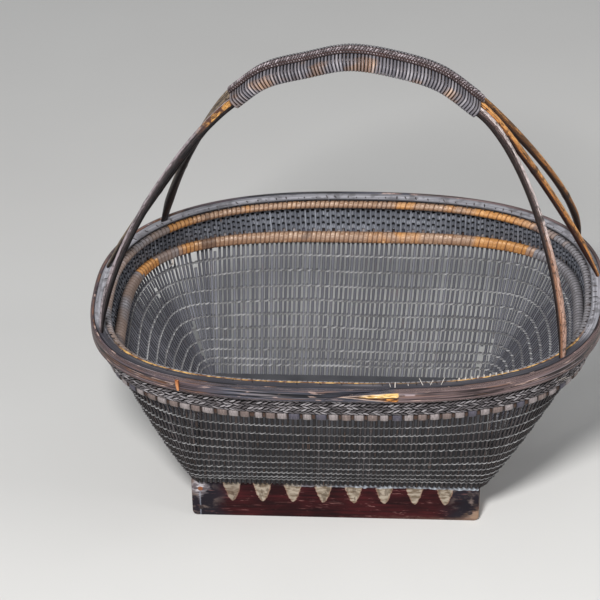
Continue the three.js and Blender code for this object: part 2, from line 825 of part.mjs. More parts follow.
// Least distance between the edge points of stations that lie at least some steps apart
function leastSelfGap(rings, apart) {
  const onEdge = (a, b, count) => Array.from({ length: count }, (_, i) => a.clone().lerp(b, i / count));
  const traced = rings.map((ring, i) => {
    const next = rings[Math.min(i + 1, rings.length - 1)];
    return ring.flatMap((p, j) => onEdge(p, next[j], 4));
  });
  let least = Infinity;
  for (let i = 0; i < traced.length; i++) {
    const last = Math.min(traced.length, i + 2 * loopSteps);
    for (let j = i + apart; j < last; j++) {
      for (const p of traced[i]) {
        for (const q of traced[j]) {
          least = Math.min(least, p.distanceTo(q));
        }
      }
    }
  }
  return least;
}

// Braided ridge that runs along the top of the winding
function gripRidge() {
  const seat = bowThickness / 2 + gap + loopAllowance + wrapThickness + gap;
  const section = [[-0.5, 0], [-0.42, 0.6], [-0.18, 1], [0.18, 1], [0.42, 0.6], [0.5, 0]];
  const rings = [];
  for (let i = 0; i <= ridgeSteps; i++) {
    const { at, across, up } = gripFrame(i / ridgeSteps);
    rings.push(section.map(([w, h]) => {
      const p = at.clone().addScaledVector(across, w * ridgeWidth + ridgeSetBack);
      return p.addScaledVector(up, seat + h * ridgeHeight);
    }));
  }
  return loft(rings, false);
}

function buildHandle() {
  addPiece("handle_front_cane", caneLoft(bowStations("front")), finish(0x3b2520, 0.35));
  addPiece("handle_middle_cane", caneLoft(bowStations("middle")), finish(0x7a4a26, 0.4));
  addPiece("handle_back_cane", caneLoft(bowStations("back")), finish(0x6d3f22, 0.4));
  addPiece("grip_winding", gripWinding(), finish(0x77716c, 0.6));
  addPiece("grip_braid", gripRidge(), finish(0x5d5a58, 0.7));
}

buildFoot();
buildFloor();
buildWall();
buildMouth();
buildHandle();

export default basket;
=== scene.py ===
# %% [markdown]
# # A handled basket of split cane
# The basket stands on a lacquered wooden foot. About 270 flat stakes rise from the foot to an oval
# mouth, ten twined rows hold them, lashed hoops and a plaited border close the mouth, and three split
# canes make the handle. This lesson dresses the construction model with the surfaces of the real thing.

# %% Load the frame
import math

import bmesh
import bpy
import numpy as np
from mathutils import Matrix, Vector


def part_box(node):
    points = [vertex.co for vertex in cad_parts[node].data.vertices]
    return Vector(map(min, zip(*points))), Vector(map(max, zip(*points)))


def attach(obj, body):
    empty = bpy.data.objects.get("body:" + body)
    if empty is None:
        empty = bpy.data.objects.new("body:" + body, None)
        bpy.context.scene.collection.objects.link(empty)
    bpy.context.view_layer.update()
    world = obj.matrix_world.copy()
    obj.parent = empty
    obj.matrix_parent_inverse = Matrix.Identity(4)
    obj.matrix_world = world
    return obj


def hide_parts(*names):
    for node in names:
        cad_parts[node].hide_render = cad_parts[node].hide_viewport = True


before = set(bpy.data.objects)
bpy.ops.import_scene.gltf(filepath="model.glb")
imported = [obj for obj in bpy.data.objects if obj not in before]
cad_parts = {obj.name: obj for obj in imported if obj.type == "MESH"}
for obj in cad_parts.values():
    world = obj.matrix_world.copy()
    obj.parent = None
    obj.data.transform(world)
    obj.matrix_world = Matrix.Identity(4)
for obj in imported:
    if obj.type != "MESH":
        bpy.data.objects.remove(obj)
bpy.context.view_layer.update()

mm = 0.001

# %% [markdown]
# The camera comes first, so that every later step can be compared with the photograph. It looks down
# at 34 degrees with a long lens, a little from the left, and leans by under two degrees. Its three axes
# are worked out with cross products and put into one matrix, because an aimed camera can't lean.

# %% Camera
camera_elevation = math.radians(34)
camera_azimuth = math.radians(4.913)
camera_lean = math.radians(-1.721)
camera_distance = 3.16085
camera_target = Vector((-44.3, -2.65, 184.25)) * mm
camera_lens, camera_sensor, camera_reach = 210.317, 36, 50


def added(name, data):
    """A new object in the scene."""
    made = bpy.data.objects.new(name, data)
    bpy.context.scene.collection.objects.link(made)
    return made


def make_camera():
    sine, cosine = math.sin(camera_azimuth), math.cos(camera_azimuth)
    across, level = Vector((cosine, sine, 0)), Vector((sine, -cosine, 0))
    back = level * math.cos(camera_elevation) + Vector((0, 0, math.sin(camera_elevation)))
    upward = back.cross(across)
    right = across * math.cos(camera_lean) + upward * math.sin(camera_lean)
    up = upward * math.cos(camera_lean) - across * math.sin(camera_lean)
    data = bpy.data.cameras.new("camera")
    data.lens, data.sensor_width, data.clip_end = camera_lens, camera_sensor, camera_reach
    camera = added("camera", data)
    place = Matrix((right, up, back)).transposed().to_4x4()
    place.translation = camera_target + back * camera_distance
    camera.matrix_world = place
    bpy.context.scene.camera = camera
    return camera


camera = make_camera()
print("camera at", [round(v, 2) for v in camera.matrix_world.translation], "m")

# %% [markdown]
# A finish is a network of nodes. Drawn by hand it soon becomes a tangle, so here a small class stands
# for a node's output and takes Python's arithmetic. A pattern is then written as a formula: noise is a
# value, rise and fall turn a value into a mask with soft edges, and a mask lays one colour over another.

# %% Sockets
class Socket:
    """One output of a node, on which Python's arithmetic adds Math nodes."""

    def __init__(self, nodes, output):
        self.nodes = nodes
        self.output = output

    def __add__(self, other):
        return self.nodes.maths("ADD", self, other)

    def __sub__(self, other):
        return self.nodes.maths("SUBTRACT", self, other)

    def __rsub__(self, other):
        return self.nodes.maths("SUBTRACT", other, self)

    def __mul__(self, other):
        return self.nodes.maths("MULTIPLY", self, other)

    def __abs__(self):
        return self.nodes.maths("ABSOLUTE", self)

    __radd__ = __add__
    __rmul__ = __mul__

    def rise(self, low, high):
        """0 below low, 1 above high and a smooth rise between them."""
        sockets = {"Value": self, "From Min": low, "From Max": high}
        return self.nodes.node("ShaderNodeMapRange", {"interpolation_type": "SMOOTHSTEP"}, sockets)

    def fall(self, low, high):
        """1 below low and 0 above high."""
        return 1 - self.rise(low, high)

    def noise(self, scale, detail=3.0, seed=0.0):
        """Noise on stretched coordinates. The scale is a number of features per metre on each axis."""
        stretch = {"Vector": self, "Location": (seed,) * 3, "Scale": scale}
        sockets = {"Vector": self.nodes.node("ShaderNodeMapping", None, stretch), "Scale": 1.0}
        return self.nodes.node("ShaderNodeTexNoise", None, {**sockets, "Detail": detail})

    def part(self, axis):
        return self.nodes.node("ShaderNodeSeparateXYZ", None, {0: self}, axis)


print("a socket can", [name for name in vars(Socket) if not name.startswith("_")])

# %% [markdown]
# The nodes themselves come from one method, which takes a node's type, its settings and the values or
# links of its sockets. Shaders count light, and a screen shows a colour brighter than its share of
# light, so colours are given as they look and made linear here.

# %% Finishes
def linear(colour):
    """A colour given as it looks, 0 to 255, in the linear numbers that shaders use."""
    shares = [part / 255 for part in colour]
    return [s / 12.92 if s <= 0.04045 else ((s + 0.055) / 1.055) ** 2.4 for s in shares] + [1.0]


class Nodes:
    """The nodes of a material or of the world."""

    def __init__(self, owner):
        owner.use_nodes = True
        self.tree = owner.node_tree

    def node(self, kind, settings=None, sockets=None, output=0):
        node = self.tree.nodes.new(kind)
        for key, value in (settings or {}).items():
            setattr(node, key, value)
        for key, value in (sockets or {}).items():
            self.feed(node.inputs[key], value)
        return Socket(self, node.outputs[output])

    def feed(self, target, value):
        if isinstance(value, Socket):
            self.tree.links.new(value.output, target)
        else:
            target.default_value = value

    def maths(self, operation, *values):
        return self.node("ShaderNodeMath", {"operation": operation}, dict(enumerate(values)))

    def mix(self, share, first, second):
        """A colour between two, each a socket or a colour as it looks."""
        ends = [c if isinstance(c, Socket) else linear(c) for c in (first, second)]
        return self.node("ShaderNodeMix", {"data_type": "RGBA"}, {0: share, 6: ends[0], 7: ends[1]}, 2)

    def layers(self, colour, *layers):
        """A colour under some layers, each given as its share and its own colour."""
        for share, layer in layers:
            colour = self.mix(share, colour, layer)
        return colour


class Finish(Nodes):
    """A material. Grain and tint come from the piece's attributes, place is in the object's frame."""

    def __init__(self, name, shine=0.3):
        self.material = bpy.data.materials.new(name)
        super().__init__(self.material)
        self.shader = self.tree.nodes["Principled BSDF"].inputs
        self.shader["Specular IOR Level"].default_value = shine

    def grain(self):
        return self.node("ShaderNodeAttribute", {"attribute_name": "grain"}, None, 1)

    def tint(self):
        return self.node("ShaderNodeAttribute", {"attribute_name": "tint"}, None, 2)

    def place(self):
        return self.node("ShaderNodeTexCoord", None, None, 3)

    def surface(self, colour, roughness, height=None, depth=0.0):
        """Feed the shader. Height is a relief of the given depth."""
        self.feed(self.shader["Base Color"], colour)
        self.feed(self.shader["Roughness"], roughness)
        if height is not None:
            relief = {"Height": height, "Distance": depth, "Strength": 1.0}
            self.feed(self.shader["Normal"], self.node("ShaderNodeBump", None, relief))
        return self


print("middle grey, 128 of 255, in linear numbers:", round(linear((128, 128, 128))[0], 3))

# %% [markdown]
# A plain pale floor and a soft studio light, as for a catalogue. The world fills the shadows, a broad
# lamp stands high in front on the left, and a weaker one on the right. The world is pale only where the
# camera or a reflection sees it and dim for the light itself, so that the shadows keep their depth. Each
# lamp has a place, a size and a power.

# %% Studio
floor_colour, seen_colour = (206, 204, 201), (218, 217, 214)
fill_light = (0.21, 0.22, 0.235, 1)
floor_size = 6.0
lamps = {"key_lamp": ((-0.25, -1.55, 1.75), 0.45, 56), "fill_lamp": ((1.6, -0.5, 1.1), 0.9, 10)}
lamps_aim = Vector((0, 0, 0.15))


def mesh_of(bm, name):
    """A mesh with what bm holds. The bmesh itself is freed."""
    mesh = bpy.data.meshes.new(name)
    bm.to_mesh(mesh)
    bm.free()
    return mesh


def make_floor():
    bm = bmesh.new()
    bmesh.ops.create_grid(bm, x_segments=1, y_segments=1, size=floor_size)
    floor = added("studio_floor", mesh_of(bm, "studio_floor"))
    finish = Finish("studio_floor")
    patches = finish.place().noise((3.0, 3.0, 3.0))
    finish.surface(finish.mix(patches, floor_colour, seen_colour), 0.9)
    floor.data.materials.append(finish.material)


def make_world():
    world = bpy.context.scene.world = bpy.data.worlds.new("studio")
    sky = Nodes(world)
    rays = [sky.node("ShaderNodeLightPath", output=kind) for kind in ("Is Camera Ray", "Is Glossy Ray")]
    ends = {0: sky.maths("MAXIMUM", *rays), 6: fill_light, 7: linear(seen_colour)}
    light = sky.node("ShaderNodeMix", {"data_type": "RGBA"}, ends, 2)
    sky.feed(sky.tree.nodes["Background"].inputs[0], light)


def make_lamp(name, position, size, power):
    data = bpy.data.lights.new(name, "AREA")
    data.shape, data.size, data.energy = "DISK", size, power
    lamp = added(name, data)
    lamp.location = position
    lamp.rotation_euler = (lamps_aim - Vector(position)).to_track_quat("-Z", "Y").to_euler()


make_floor()
make_world()
for name, lamp in lamps.items():
    make_lamp(name, *lamp)
bpy.context.scene.view_settings.view_transform = "Standard"
print("lamps:", list(lamps))

# %% [markdown]
# The mouth is a squarish oval. Everything round it is placed on one surface, the collar, which flares
# from the lower hoops to the rim. A place on it has three numbers: the share of the way round from the
# middle of the front, the height, and how far it lies outward. A curve object could carry each strand,
# but tables that are even along the oval's length give thousands of points in one step. No handmade
# mouth is quite even, so the left end of the rim is bent forward and the right end of the hoops back.

# %% The collar's surface
rim_low, rim_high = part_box("rim_strip")
hoop_low, hoop_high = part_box("lower_outer_hoop")
strip_inner, strip_outer, hoop_outer = 5.2 * mm, 8.6 * mm, 5.6 * mm
rim_top = rim_high.z
hoop_level = (hoop_low.z + hoop_high.z) / 2
flare_top = 183 * mm
rim_squareness, hoop_squareness = 2.66, 3.13
rim_bends, hoop_bends = (-15 * mm, -2 * mm), (0, 10 * mm)
table_steps = 2880


def flattened(value, power):
    """Cosine or sine pulled toward the corners of its square, for sections flatter than an ellipse."""
    return np.sign(value) * np.abs(value) ** power


def joined(*columns):
    """Columns side by side in one array, any of them a single number."""
    return np.stack(np.broadcast_arrays(*columns), axis=-1)


def lengths_along(path):
    """The length of a path up to each of its points."""
    return np.concatenate([[0], np.cumsum(np.linalg.norm(np.diff(path, axis=0), axis=1))])


def evenly(path, samples):
    """Points at even steps of a path's length."""
    lengths = lengths_along(path)
    even = np.linspace(0, lengths[-1], samples)
    return joined(*(np.interp(even, lengths, column) for column in path.T))


def oval_table(half, squareness, bends):
    """X, Y and the outward direction of an oval at even steps of its length, and the length."""
    angle = np.linspace(-0.5 * np.pi, 1.5 * np.pi, table_steps + 1)
    x = half.x * flattened(np.cos(angle), 2 / squareness)
    y = half.y * flattened(np.sin(angle), 2 / squareness)
    path = joined(x, y + np.where(x < 0, *bends) * (x / half.x) ** 2)
    ring = evenly(path, table_steps + 1)[:-1].T
    ahead = np.roll(ring, -2, axis=1) - np.roll(ring, 2, axis=1)
    ahead /= np.hypot(*ahead)
    table = np.stack([*ring, ahead[1], -ahead[0]])
    return np.concatenate([table, table[:, :1]], axis=1), lengths_along(path)[-1]


def oval_point(table, around):
    place = np.mod(around, 1.0) * table_steps
    return [np.interp(place, np.arange(table_steps + 1), column) for column in table]


rim_half = rim_high - Vector((strip_outer, strip_outer, 0))
hoop_half = hoop_high - Vector((hoop_outer, hoop_outer, 0))
rim_table, rim_girth = oval_table(rim_half, rim_squareness, rim_bends)
hoop_table, hoop_girth = oval_table(hoop_half, hoop_squareness, hoop_bends)


def collar(around, z, out):
    """Points on the collar, as an array of X, Y, Z."""
    flare = np.clip((z - hoop_level) / (flare_top - hoop_level), 0, 1)
    low, high = oval_point(hoop_table, around), oval_point(rim_table, around)
    x = (low[0] + out * low[2]) * (1 - flare) + (high[0] + out * high[2]) * flare
    y = (low[1] + out * low[3]) * (1 - flare) + (high[1] + out * high[3]) * flare
    return joined(x, y, z)


print("rim girth", round(rim_girth / mm), "mm, hoop girth", round(hoop_girth / mm), "mm")

# %% [markdown]
# The wall is ruled between the rectangular foot and the hoop. It has eight panels, one for each side
# and one for each corner, where the stakes fan out. A place on it is the number of a stake, the share
# of the height and the distance outward. Real stakes spring outward a little on their way up, which the
# swell adds. A loft would make such a wall too, but not tell where a stake or a weaver lies on it.

# %% The wall's surface
panel_names = ["front", "front_right", "right", "back_right", "back", "back_left", "left", "front_left"]
panel_stakes = [57, 19, 38, 19, 61, 19, 38, 19]
knots = np.concatenate([[0], np.cumsum(panel_stakes)])
stake_total = int(knots[-1])
board_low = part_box("foot_front_board")[0]
board_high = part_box("foot_back_board")[1]
wall_overhang, wall_shift = 3 * mm, 3.5 * mm
corner_cut = 7 * mm
wall_bottom = board_high.z + 0.3 * mm
stake_top = hoop_level - 0.15 * mm
wall_swell, corner_swell = 2.2 * mm, 3.2 * mm
front_spread, back_spread, side_spread = 1 * mm, 15 * mm, 6.5 * mm


def wall_knots():
    """Base corner and share round the hoop at each joint between two panels."""
    x0, x1 = board_low.x - wall_overhang + wall_shift, board_high.x + wall_overhang + wall_shift
    y0, y1 = board_low.y - wall_overhang, board_high.y + wall_overhang
    c = corner_cut
    xs = [x0 + c, x1 - c, x1, x1, x1 - c, x0 + c, x0, x0, x0 + c]
    ys = [y0, y0, y0 + c, y1 - c, y1, y1, y1 - c, y0 + c, y0]
    length, depth = board_high.x - board_low.x, board_high.y - board_low.y
    spans = ((length, front_spread), (length, back_spread), (depth, side_spread))
    front, back, side = ((span + spread) / hoop_girth / 2 for span, spread in spans)
    heads = [-front, front, 0.25 - side, 0.25 + side, 0.5 - back, 0.5 + back, 0.75 - side, 0.75 + side]
    return xs, ys, heads + [1 - front]


base_x, base_y, head_share = wall_knots()


def wall_plain(stake, rise):
    """X and Y on the wall without an outward distance."""
    q = np.mod(stake, stake_total)
    panel = np.clip(np.searchsorted(knots, q, side="right") - 1, 0, len(panel_stakes) - 1)
    in_corner = (panel % 2) * np.sin(np.pi * (q - knots[panel]) / np.take(panel_stakes, panel))
    foot_x, foot_y = np.interp(q, knots, base_x), np.interp(q, knots, base_y)
    head = oval_point(hoop_table, np.interp(q, knots, head_share))
    run_x, run_y = head[0] - foot_x, head[1] - foot_y
    swell = (wall_swell + corner_swell * in_corner) * 4 * rise * (1 - rise) / np.hypot(run_x, run_y)
    return foot_x + run_x * (rise + swell), foot_y + run_y * (rise + swell)


def wall_directions(stake, rise):
    """Along the wall and outward, and the distance from one stake to the next."""
    before, after = wall_plain(stake - 0.5, rise), wall_plain(stake + 0.5, rise)
    ahead = np.stack([after[0] - before[0], after[1] - before[1]])
    pitch = np.hypot(*ahead)
    ahead = ahead / pitch
    return ahead, np.stack([ahead[1], -ahead[0]]), pitch


def wall(stake, rise, out, along=0.0):
    """Points on the wall, as an array of X, Y, Z."""
    ahead, outward, _ = wall_directions(stake, rise)
    x, y = np.stack(wall_plain(stake, rise)) + outward * out + ahead * along
    return joined(x, y, wall_bottom + (stake_top - wall_bottom) * rise)


def rise_of(z):
    return (z - wall_bottom) / (stake_top - wall_bottom)


print("stakes:", stake_total, "wall to", round(stake_top / mm, 1), "mm")

# %% [markdown]
# Nearly every piece here is a strand: a stake, a weaver, a lashing, a cane. Each starts as a flat grid
# from one operator. The grid is rolled into a tube by moving its vertices, its long edges are merged,
# and its ends are closed. An Array modifier repeats the grid where there are many strands. Curves with
# a bevel would be quicker to set up, but a rolled grid can change its width and its section anywhere.
# Two attributes stay on the points for the materials: "grain" holds the distance along and across the
# strand and how high the point lies on its crown, and "tint" a number of its own for each strand. Each
# strand's distances start somewhere else, by a step for every strand, so that no two have equal fibres.

# %% Strand makers
random = np.random.default_rng(7)
weld = 1e-6


def repeated(bm, count):
    """A mesh with count copies of bm in one place, and the number and coordinates of its vertices."""
    mesh = mesh_of(bm, "blank")
    if count > 1:
        holder = added("holder", mesh)
        copies = holder.modifiers.new("copies", "ARRAY")
        copies.count, copies.use_relative_offset = count, False
        shown = holder.evaluated_get(bpy.context.evaluated_depsgraph_get())
        mesh = bpy.data.meshes.new_from_object(shown)
        bpy.data.objects.remove(holder)
    co = np.empty(len(mesh.vertices) * 3, np.float32)
    mesh.vertices.foreach_get("co", co)
    co = co.reshape(-1, 3).astype(float)
    return mesh, np.arange(len(co)) // (len(co) // count), co


def set_points(mesh, points, grain, tint):
    """Move the vertices and store the attributes. Grain is three columns, and tint may be a number."""
    mesh.vertices.foreach_set("co", points.astype(np.float32).ravel())
    tint = np.broadcast_to(tint, len(points))
    for name, kind, key, values in (("grain", "FLOAT_VECTOR", "vector", joined(*grain)),
                                    ("tint", "FLOAT", "value", tint)):
        layer = mesh.attributes.new(name, kind, "POINT")
        layer.data.foreach_set(key, values.astype(np.float32).ravel())


def strands(steps, sides, count, place):
    """Rolled strands. place gives points, grain and tint from each vertex's number, length and angle."""
    bm = bmesh.new()
    bmesh.ops.create_grid(bm, x_segments=steps, y_segments=sides, size=0.5)
    mesh, number, co = repeated(bm, count)
    length, turn = (np.round((co[:, i] + 0.5) * parts) / parts for i, parts in enumerate((steps, sides)))
    set_points(mesh, *place(number, length, 2 * np.pi * turn))
    bm = bmesh.new()
    bm.from_mesh(mesh)
    bmesh.ops.remove_doubles(bm, verts=bm.verts, dist=weld)
    bmesh.ops.holes_fill(bm, edges=[e for e in bm.edges if e.is_boundary], sides=0)
    bmesh.ops.recalc_face_normals(bm, faces=bm.faces)
    bm.to_mesh(mesh)
    bm.free()
    return mesh


def section(angle, width, thickness, squareness=(0.8, 0.9)):
    """Across and out of a strand's middle, for a flat section with rounded corners."""
    return (flattened(np.cos(angle), squareness[0]) * width / 2,
            flattened(np.sin(angle), squareness[1]) * thickness / 2)


def crown(height):
    """How high a point lies on its strand, 1 on top and 0 at the edges and below."""
    return np.clip(height, 0, 1)


print("points nearer than", weld, "m are merged")

# %% [markdown]
# A finished piece is one object whose place is in its mesh. Its parts are joined, because hundreds of
# objects would be slow to handle, and it is smooth but for its creases. It then rides on the root, takes
# its finish, and the construction solids it stands for are hidden.

# %% Pieces
def piece(name, meshes, finish, slot, *nodes, crease=45):
    """One object from one or more meshes, smooth but for its creases, riding on the root."""
    bm = bmesh.new()
    for mesh in meshes:
        bm.from_mesh(mesh)
    mesh = mesh_of(bm, name)
    mesh.shade_smooth()
    mesh.set_sharp_from_angle(angle=math.radians(crease))
    mesh.materials.append(finish.material)
    made = added(name, mesh)
    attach(made, "root")
    if nodes:
        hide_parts(*nodes)
    print(name, len(mesh.polygons), "faces")


# %% [markdown]
# Old split cane is grey-brown outside with paler fibres, and the crowns that hands touch are worn pale.
# A photo texture would fit one strand only, so one recipe serves all cane: a dark and a pale colour are
# mixed by long streaks along the grain, some strands keep the golden or reddish colour of new cane, each
# strand is darkened toward its sides by painted shade, and a painted highlight runs along its crown.

# %% Cane finish
cane_streak = (18, 900, 60)
stain_depth = 0.85


def cane_colour(finish, dark, body, pale, pale_from=0.9, streak=cane_streak, tint=None):
    """Painted shade at a strand's edges, its own colour on top, and pale with wear and a painted
    highlight.
    """
    grain = finish.grain()
    tint = finish.tint() if tint is None else tint
    fibres = grain.noise(streak, 4.0)
    patches = grain.noise((25, 25, 25), 2.0, 3.0)
    high = grain.part(2)
    own = finish.mix(tint * 0.6 + 0.4, dark, body)
    # Painted shade: the strand turns to its dark colour toward its edges, where its crown height falls.
    base = finish.mix((high + fibres * 0.5).rise(0.4, 1.05), dark, own)
    # Painted highlight along the crown, mixed with wear: the crown height adds to the pale mask.
    worn = fibres * 0.6 + patches * 0.5 + tint * 0.35 + high * 0.25
    return finish.mix(worn.rise(pale_from, pale_from + 0.25), base, pale), fibres


def cane_finish(name, dark, body, pale, warm, warm_from=0.62, roughness=0.62, pale_from=0.9,
                streak=cane_streak):
    """Cane with stains of a warm colour, which start where a noise passes warm_from."""
    finish = Finish(name)
    base, fibres = cane_colour(finish, dark, body, pale, pale_from, streak)
    stains = finish.grain().noise((45, 6, 6), 3.0, 11.0).rise(warm_from, warm_from + 0.06)
    dusty = finish.place().noise((160, 160, 160), 4.0)
    colour = finish.mix(stains * stain_depth, base, warm)
    return finish.surface(colour, dusty * 0.3 + (roughness - 0.15), fibres + dusty * 0.4, 0.25 * mm)


print("streaks in a metre along, across and out of the grain:", cane_streak)

# %% [markdown]
# Each stake is a flat split of cane about 2.6 mm wide, or 3.4 mm at the two ends of the basket, with
# rounded edges. At the corners the stakes are pared thinner toward the foot, so there the width follows
# the room that is left. A little unevenness in width and place keeps the row from looking machined,
# and a few stakes are broken. Such a stake has two numbers: the shares of the height at which its lower
# run ends and its upper run starts.

# %% Stakes
stake_width, end_stake_width = 2.6 * mm, 3.4 * mm
stake_thickness = 1.3 * mm
stake_fill = 0.82
stake_steps = 10
other_side = 50 * mm
broken_stakes = {"back_left": {4: (0.8, 1), 8: (0.1, 0.42), 9: (0.16, 0.38), 17: (0.7, 0.79)},
                 "back": {1: (0.07, 0.24), 60: (0.9, 1)}, "back_right": {17: (0.12, 0.3)}}


def stake_panel(name):
    """The stakes of one panel, and the upper runs of those that are broken."""
    panel = panel_names.index(name)
    first, count = knots[panel], panel_stakes[panel]
    full_width = end_stake_width if name in ("left", "right") else stake_width
    width_change = random.normal(1.0, 0.07, count)
    drift = random.normal(0, 0.04, (count, 2))
    tint = random.random(count)
    breaks = broken_stakes.get(name, {})
    lower = [(stake, 0, breaks[stake][0] if stake in breaks else 1) for stake in range(count)]
    upper = [(stake, end[1], 1) for stake, end in breaks.items() if end[1] < 1]

    def runs(parts):
        which, low, high = (np.array(column) for column in zip(*parts))

        def place(number, length, angle):
            rise = low[number] + (high - low)[number] * length
            number = which[number]
            stake = first + number + 0.5 + drift[number, 0] + drift[number, 1] * (rise - 0.5)
            pitch = wall_directions(stake, rise)[2]
            width = np.minimum(full_width * width_change[number], stake_fill * pitch)
            across, lift = section(angle, width, stake_thickness, (0.7, 0.8))
            side = other_side * (0.5 + 0.5 * np.sin(angle))
            grain = (rise * 0.12 + number * 0.37, across + side, np.abs(np.sin(angle)) ** 1.8)
            return wall(stake, rise, lift, across), grain, tint[number]

        return strands(stake_steps, 8, len(parts), place)

    return [runs(parts) for parts in (lower, upper) if parts]


def stake_cane():
    """Grey and dusty inside, and darker and browner outside, where painted shade darkens the cane."""
    finish = Finish("stake_cane", 0.15)
    tint = finish.tint() * 0.5 + 0.25
    inside, fibres = cane_colour(finish, (20, 20, 24), (116, 116, 124), (158, 159, 168), 0.98, tint=tint)
    outside, _ = cane_colour(finish, (8, 6, 6), (62, 57, 58), (128, 121, 123), 0.97, tint=tint)
    # Painted shade: the faces turned outward take the darker, browner copy of the cane.
    faces_out = finish.grain().part(1).rise(other_side * 0.4, other_side * 0.6)
    stains = finish.grain().noise((60, 6, 6), 3.0, 11.0).rise(0.66, 0.7)
    colour = finish.layers(inside, (faces_out, outside), (stains * 0.8, (118, 88, 70)))
    return finish.surface(colour, fibres * 0.3 + 0.42, fibres, 0.25 * mm)


stake_finish = stake_cane()
for name in panel_names:
    piece(name + "_wall", stake_panel(name), stake_finish, "stakes", name + "_stakes")

# %% [markdown]
# Twining is done with two weavers at once. They pass on either side of a stake and change places before
# the next one, so from outside a row looks like a slender rope. Each weaver is a wave: its distance
# outward is a cosine of the stake's number and its height a sine. In the corners, where the stakes stand
# close, the wave passes several stakes at a time.

# %% Twined rows
row_total = 10
lowest_row, highest_row = 49.5 * mm, 142 * mm
row_crowding = 1.33
weave_room, weave_climb = 1.25 * mm, 0.5 * mm
weaver_half_height, weaver_half_thickness = 0.7 * mm, 0.5 * mm
row_knots, tint_knots = 24, 40
shared_drift, own_drift = 0.8 * mm, 0.3 * mm
steps_per_beat = 5
corner_beat = 4.3 * mm


def row_height(row):
    return lowest_row + (highest_row - lowest_row) * (row / (row_total - 1)) ** row_crowding


def beats(rise):
    """Half turns of the twining from the front middle to each joint of the wall at a height."""
    found = [0]
    for panel, count in enumerate(panel_stakes):
        if panel % 2:
            along = np.linspace(knots[panel], knots[panel + 1] - 1e-6, 20)
            count = round(lengths_along(joined(*wall_plain(along, rise)))[-1] / corner_beat)
        found.append(found[-1] + count)
    found[-1] += found[-1] % 2
    return np.array(found, float)


def weaver(z, side, beat_knots, wander):
    tints = random.random(tint_knots)
    total = int(beat_knots[-1])

    def place(number, length, angle):
        beat = length * total
        stake = np.interp(beat, beat_knots, knots)
        swing = np.pi * (beat + 0.5 + side)
        level = z + np.interp(beat, np.linspace(0, total, row_knots), wander)
        height = level + weave_climb * np.sin(swing) + weaver_half_height * np.sin(angle)
        out = weave_room * np.cos(swing) + weaver_half_thickness * np.cos(angle)
        # Painted shade: where a weaver turns in behind a stake its crown height drops, so the finish
        # darkens it.
        high = 0.5 + 0.5 * np.cos(swing) * np.cos(angle)
        grain = (length * 1.1 + side * 0.53, angle * mm, np.abs(np.cos(angle)) * 0.5 + high * 0.5)
        tint = np.interp(beat, np.linspace(0, total, tint_knots), tints)
        return wall(stake, rise_of(height), out), grain, tint

    return strands(total * steps_per_beat, 6, 1, place)


shared_wander = random.normal(0, shared_drift, row_knots)


def twined_row(row):
    """Two weavers that wander up and down a little, much as the rows above and below them do."""
    z = row_height(row)
    wander = shared_wander * min(1, (row + 2) / 5) + random.normal(0, own_drift, row_knots)
    wander[-1] = wander[0]
    return [weaver(z, side, beats(rise_of(z)), wander) for side in (0, 1)]


weaver_finish = cane_finish("weaver_cane", (56, 55, 57), (144, 143, 144), (182, 181, 182),
                            (140, 112, 90), 0.66)
for row in range(row_total):
    label = f"{row + 1:02d}"
    nodes = [f"row_{label}_{side}_strand" for side in ("outer", "inner")]
    piece(f"twined_row_{label}", twined_row(row), weaver_finish, "weaver_strands", *nodes)

# %% [markdown]
# The two lower hoops pinch the heads of the stakes between them. Inside, a flat lashing covers the hoop
# turn by turn. A texture of stripes could stand for it, but its edges would stay flat. So it is one long
# strand wound as a helix, which is simple in the collar's own coordinates: the share of the way round
# grows steadily while an angle runs round the hoop's section.

# %% Hoops
hoop_keys = ("z", "out", "half_height", "half_thickness")
lower_inner_hoop = dict(zip(hoop_keys, (hoop_level, -5.95 * mm, 4.3 * mm, 4.1 * mm)))
upper_inner_hoop = dict(zip(hoop_keys, (192.4 * mm, -5.8 * mm, 3.1 * mm, 4.1 * mm)))
outer_hoop = dict(zip(hoop_keys, (hoop_level, 2.9 * mm, 3.0 * mm, 1.9 * mm)))
inner_hoops = {"lower_inner": lower_inner_hoop, "upper_inner": upper_inner_hoop}
wall_lean = 0.7
ring_steps, ring_sides = 480, 16


def ring_girth(z):
    flare = min(max((z - hoop_level) / (flare_top - hoop_level), 0), 1)
    return hoop_girth + (rim_girth - hoop_girth) * flare


def hoop_place(hoop, around, angle, beyond=0.0, along=0.0):
    """A point on a hoop's section, moved outward from its surface and along the hoop."""
    rise, reach = np.sin(angle), np.cos(angle)
    normal = np.stack([rise / hoop["half_height"], reach / hoop["half_thickness"]])
    normal /= np.hypot(*normal)
    z = hoop["z"] + hoop["half_height"] * rise + beyond * normal[0]
    inward_lean = np.minimum(0, z - hoop_level) * wall_lean * (hoop["out"] < 0)
    out = hoop["out"] + hoop["half_thickness"] * reach + beyond * normal[1] + inward_lean
    return collar(around + along / ring_girth(hoop["z"]), z, out)


def hoop_core(hoop):
    """The hoop itself, which shows in the slits between the turns."""
    def place(number, length, angle):
        grain = (length * 1.1, angle * 2 * mm, np.abs(np.cos(angle)))
        return hoop_place(hoop, length, angle), grain, 0.5

    return strands(ring_steps, ring_sides, 1, place)


hoop_finish = cane_finish("hoop_cane", (24, 16, 14), (74, 52, 42), (106, 82, 68),
                          (100, 68, 50), 0.62, 0.5, 0.95)
for name, hoop in inner_hoops.items():
    piece(name + "_core", [hoop_core(hoop)], hoop_finish, "lashed_hoops")

# %% [markdown]
# The lashing is golden along the back and grey round the ends and the front. That follows the place
# along the strand, so it goes into the tint with a share of chance, and the material turns a low tint
# into grey cane and a high one into golden cane.

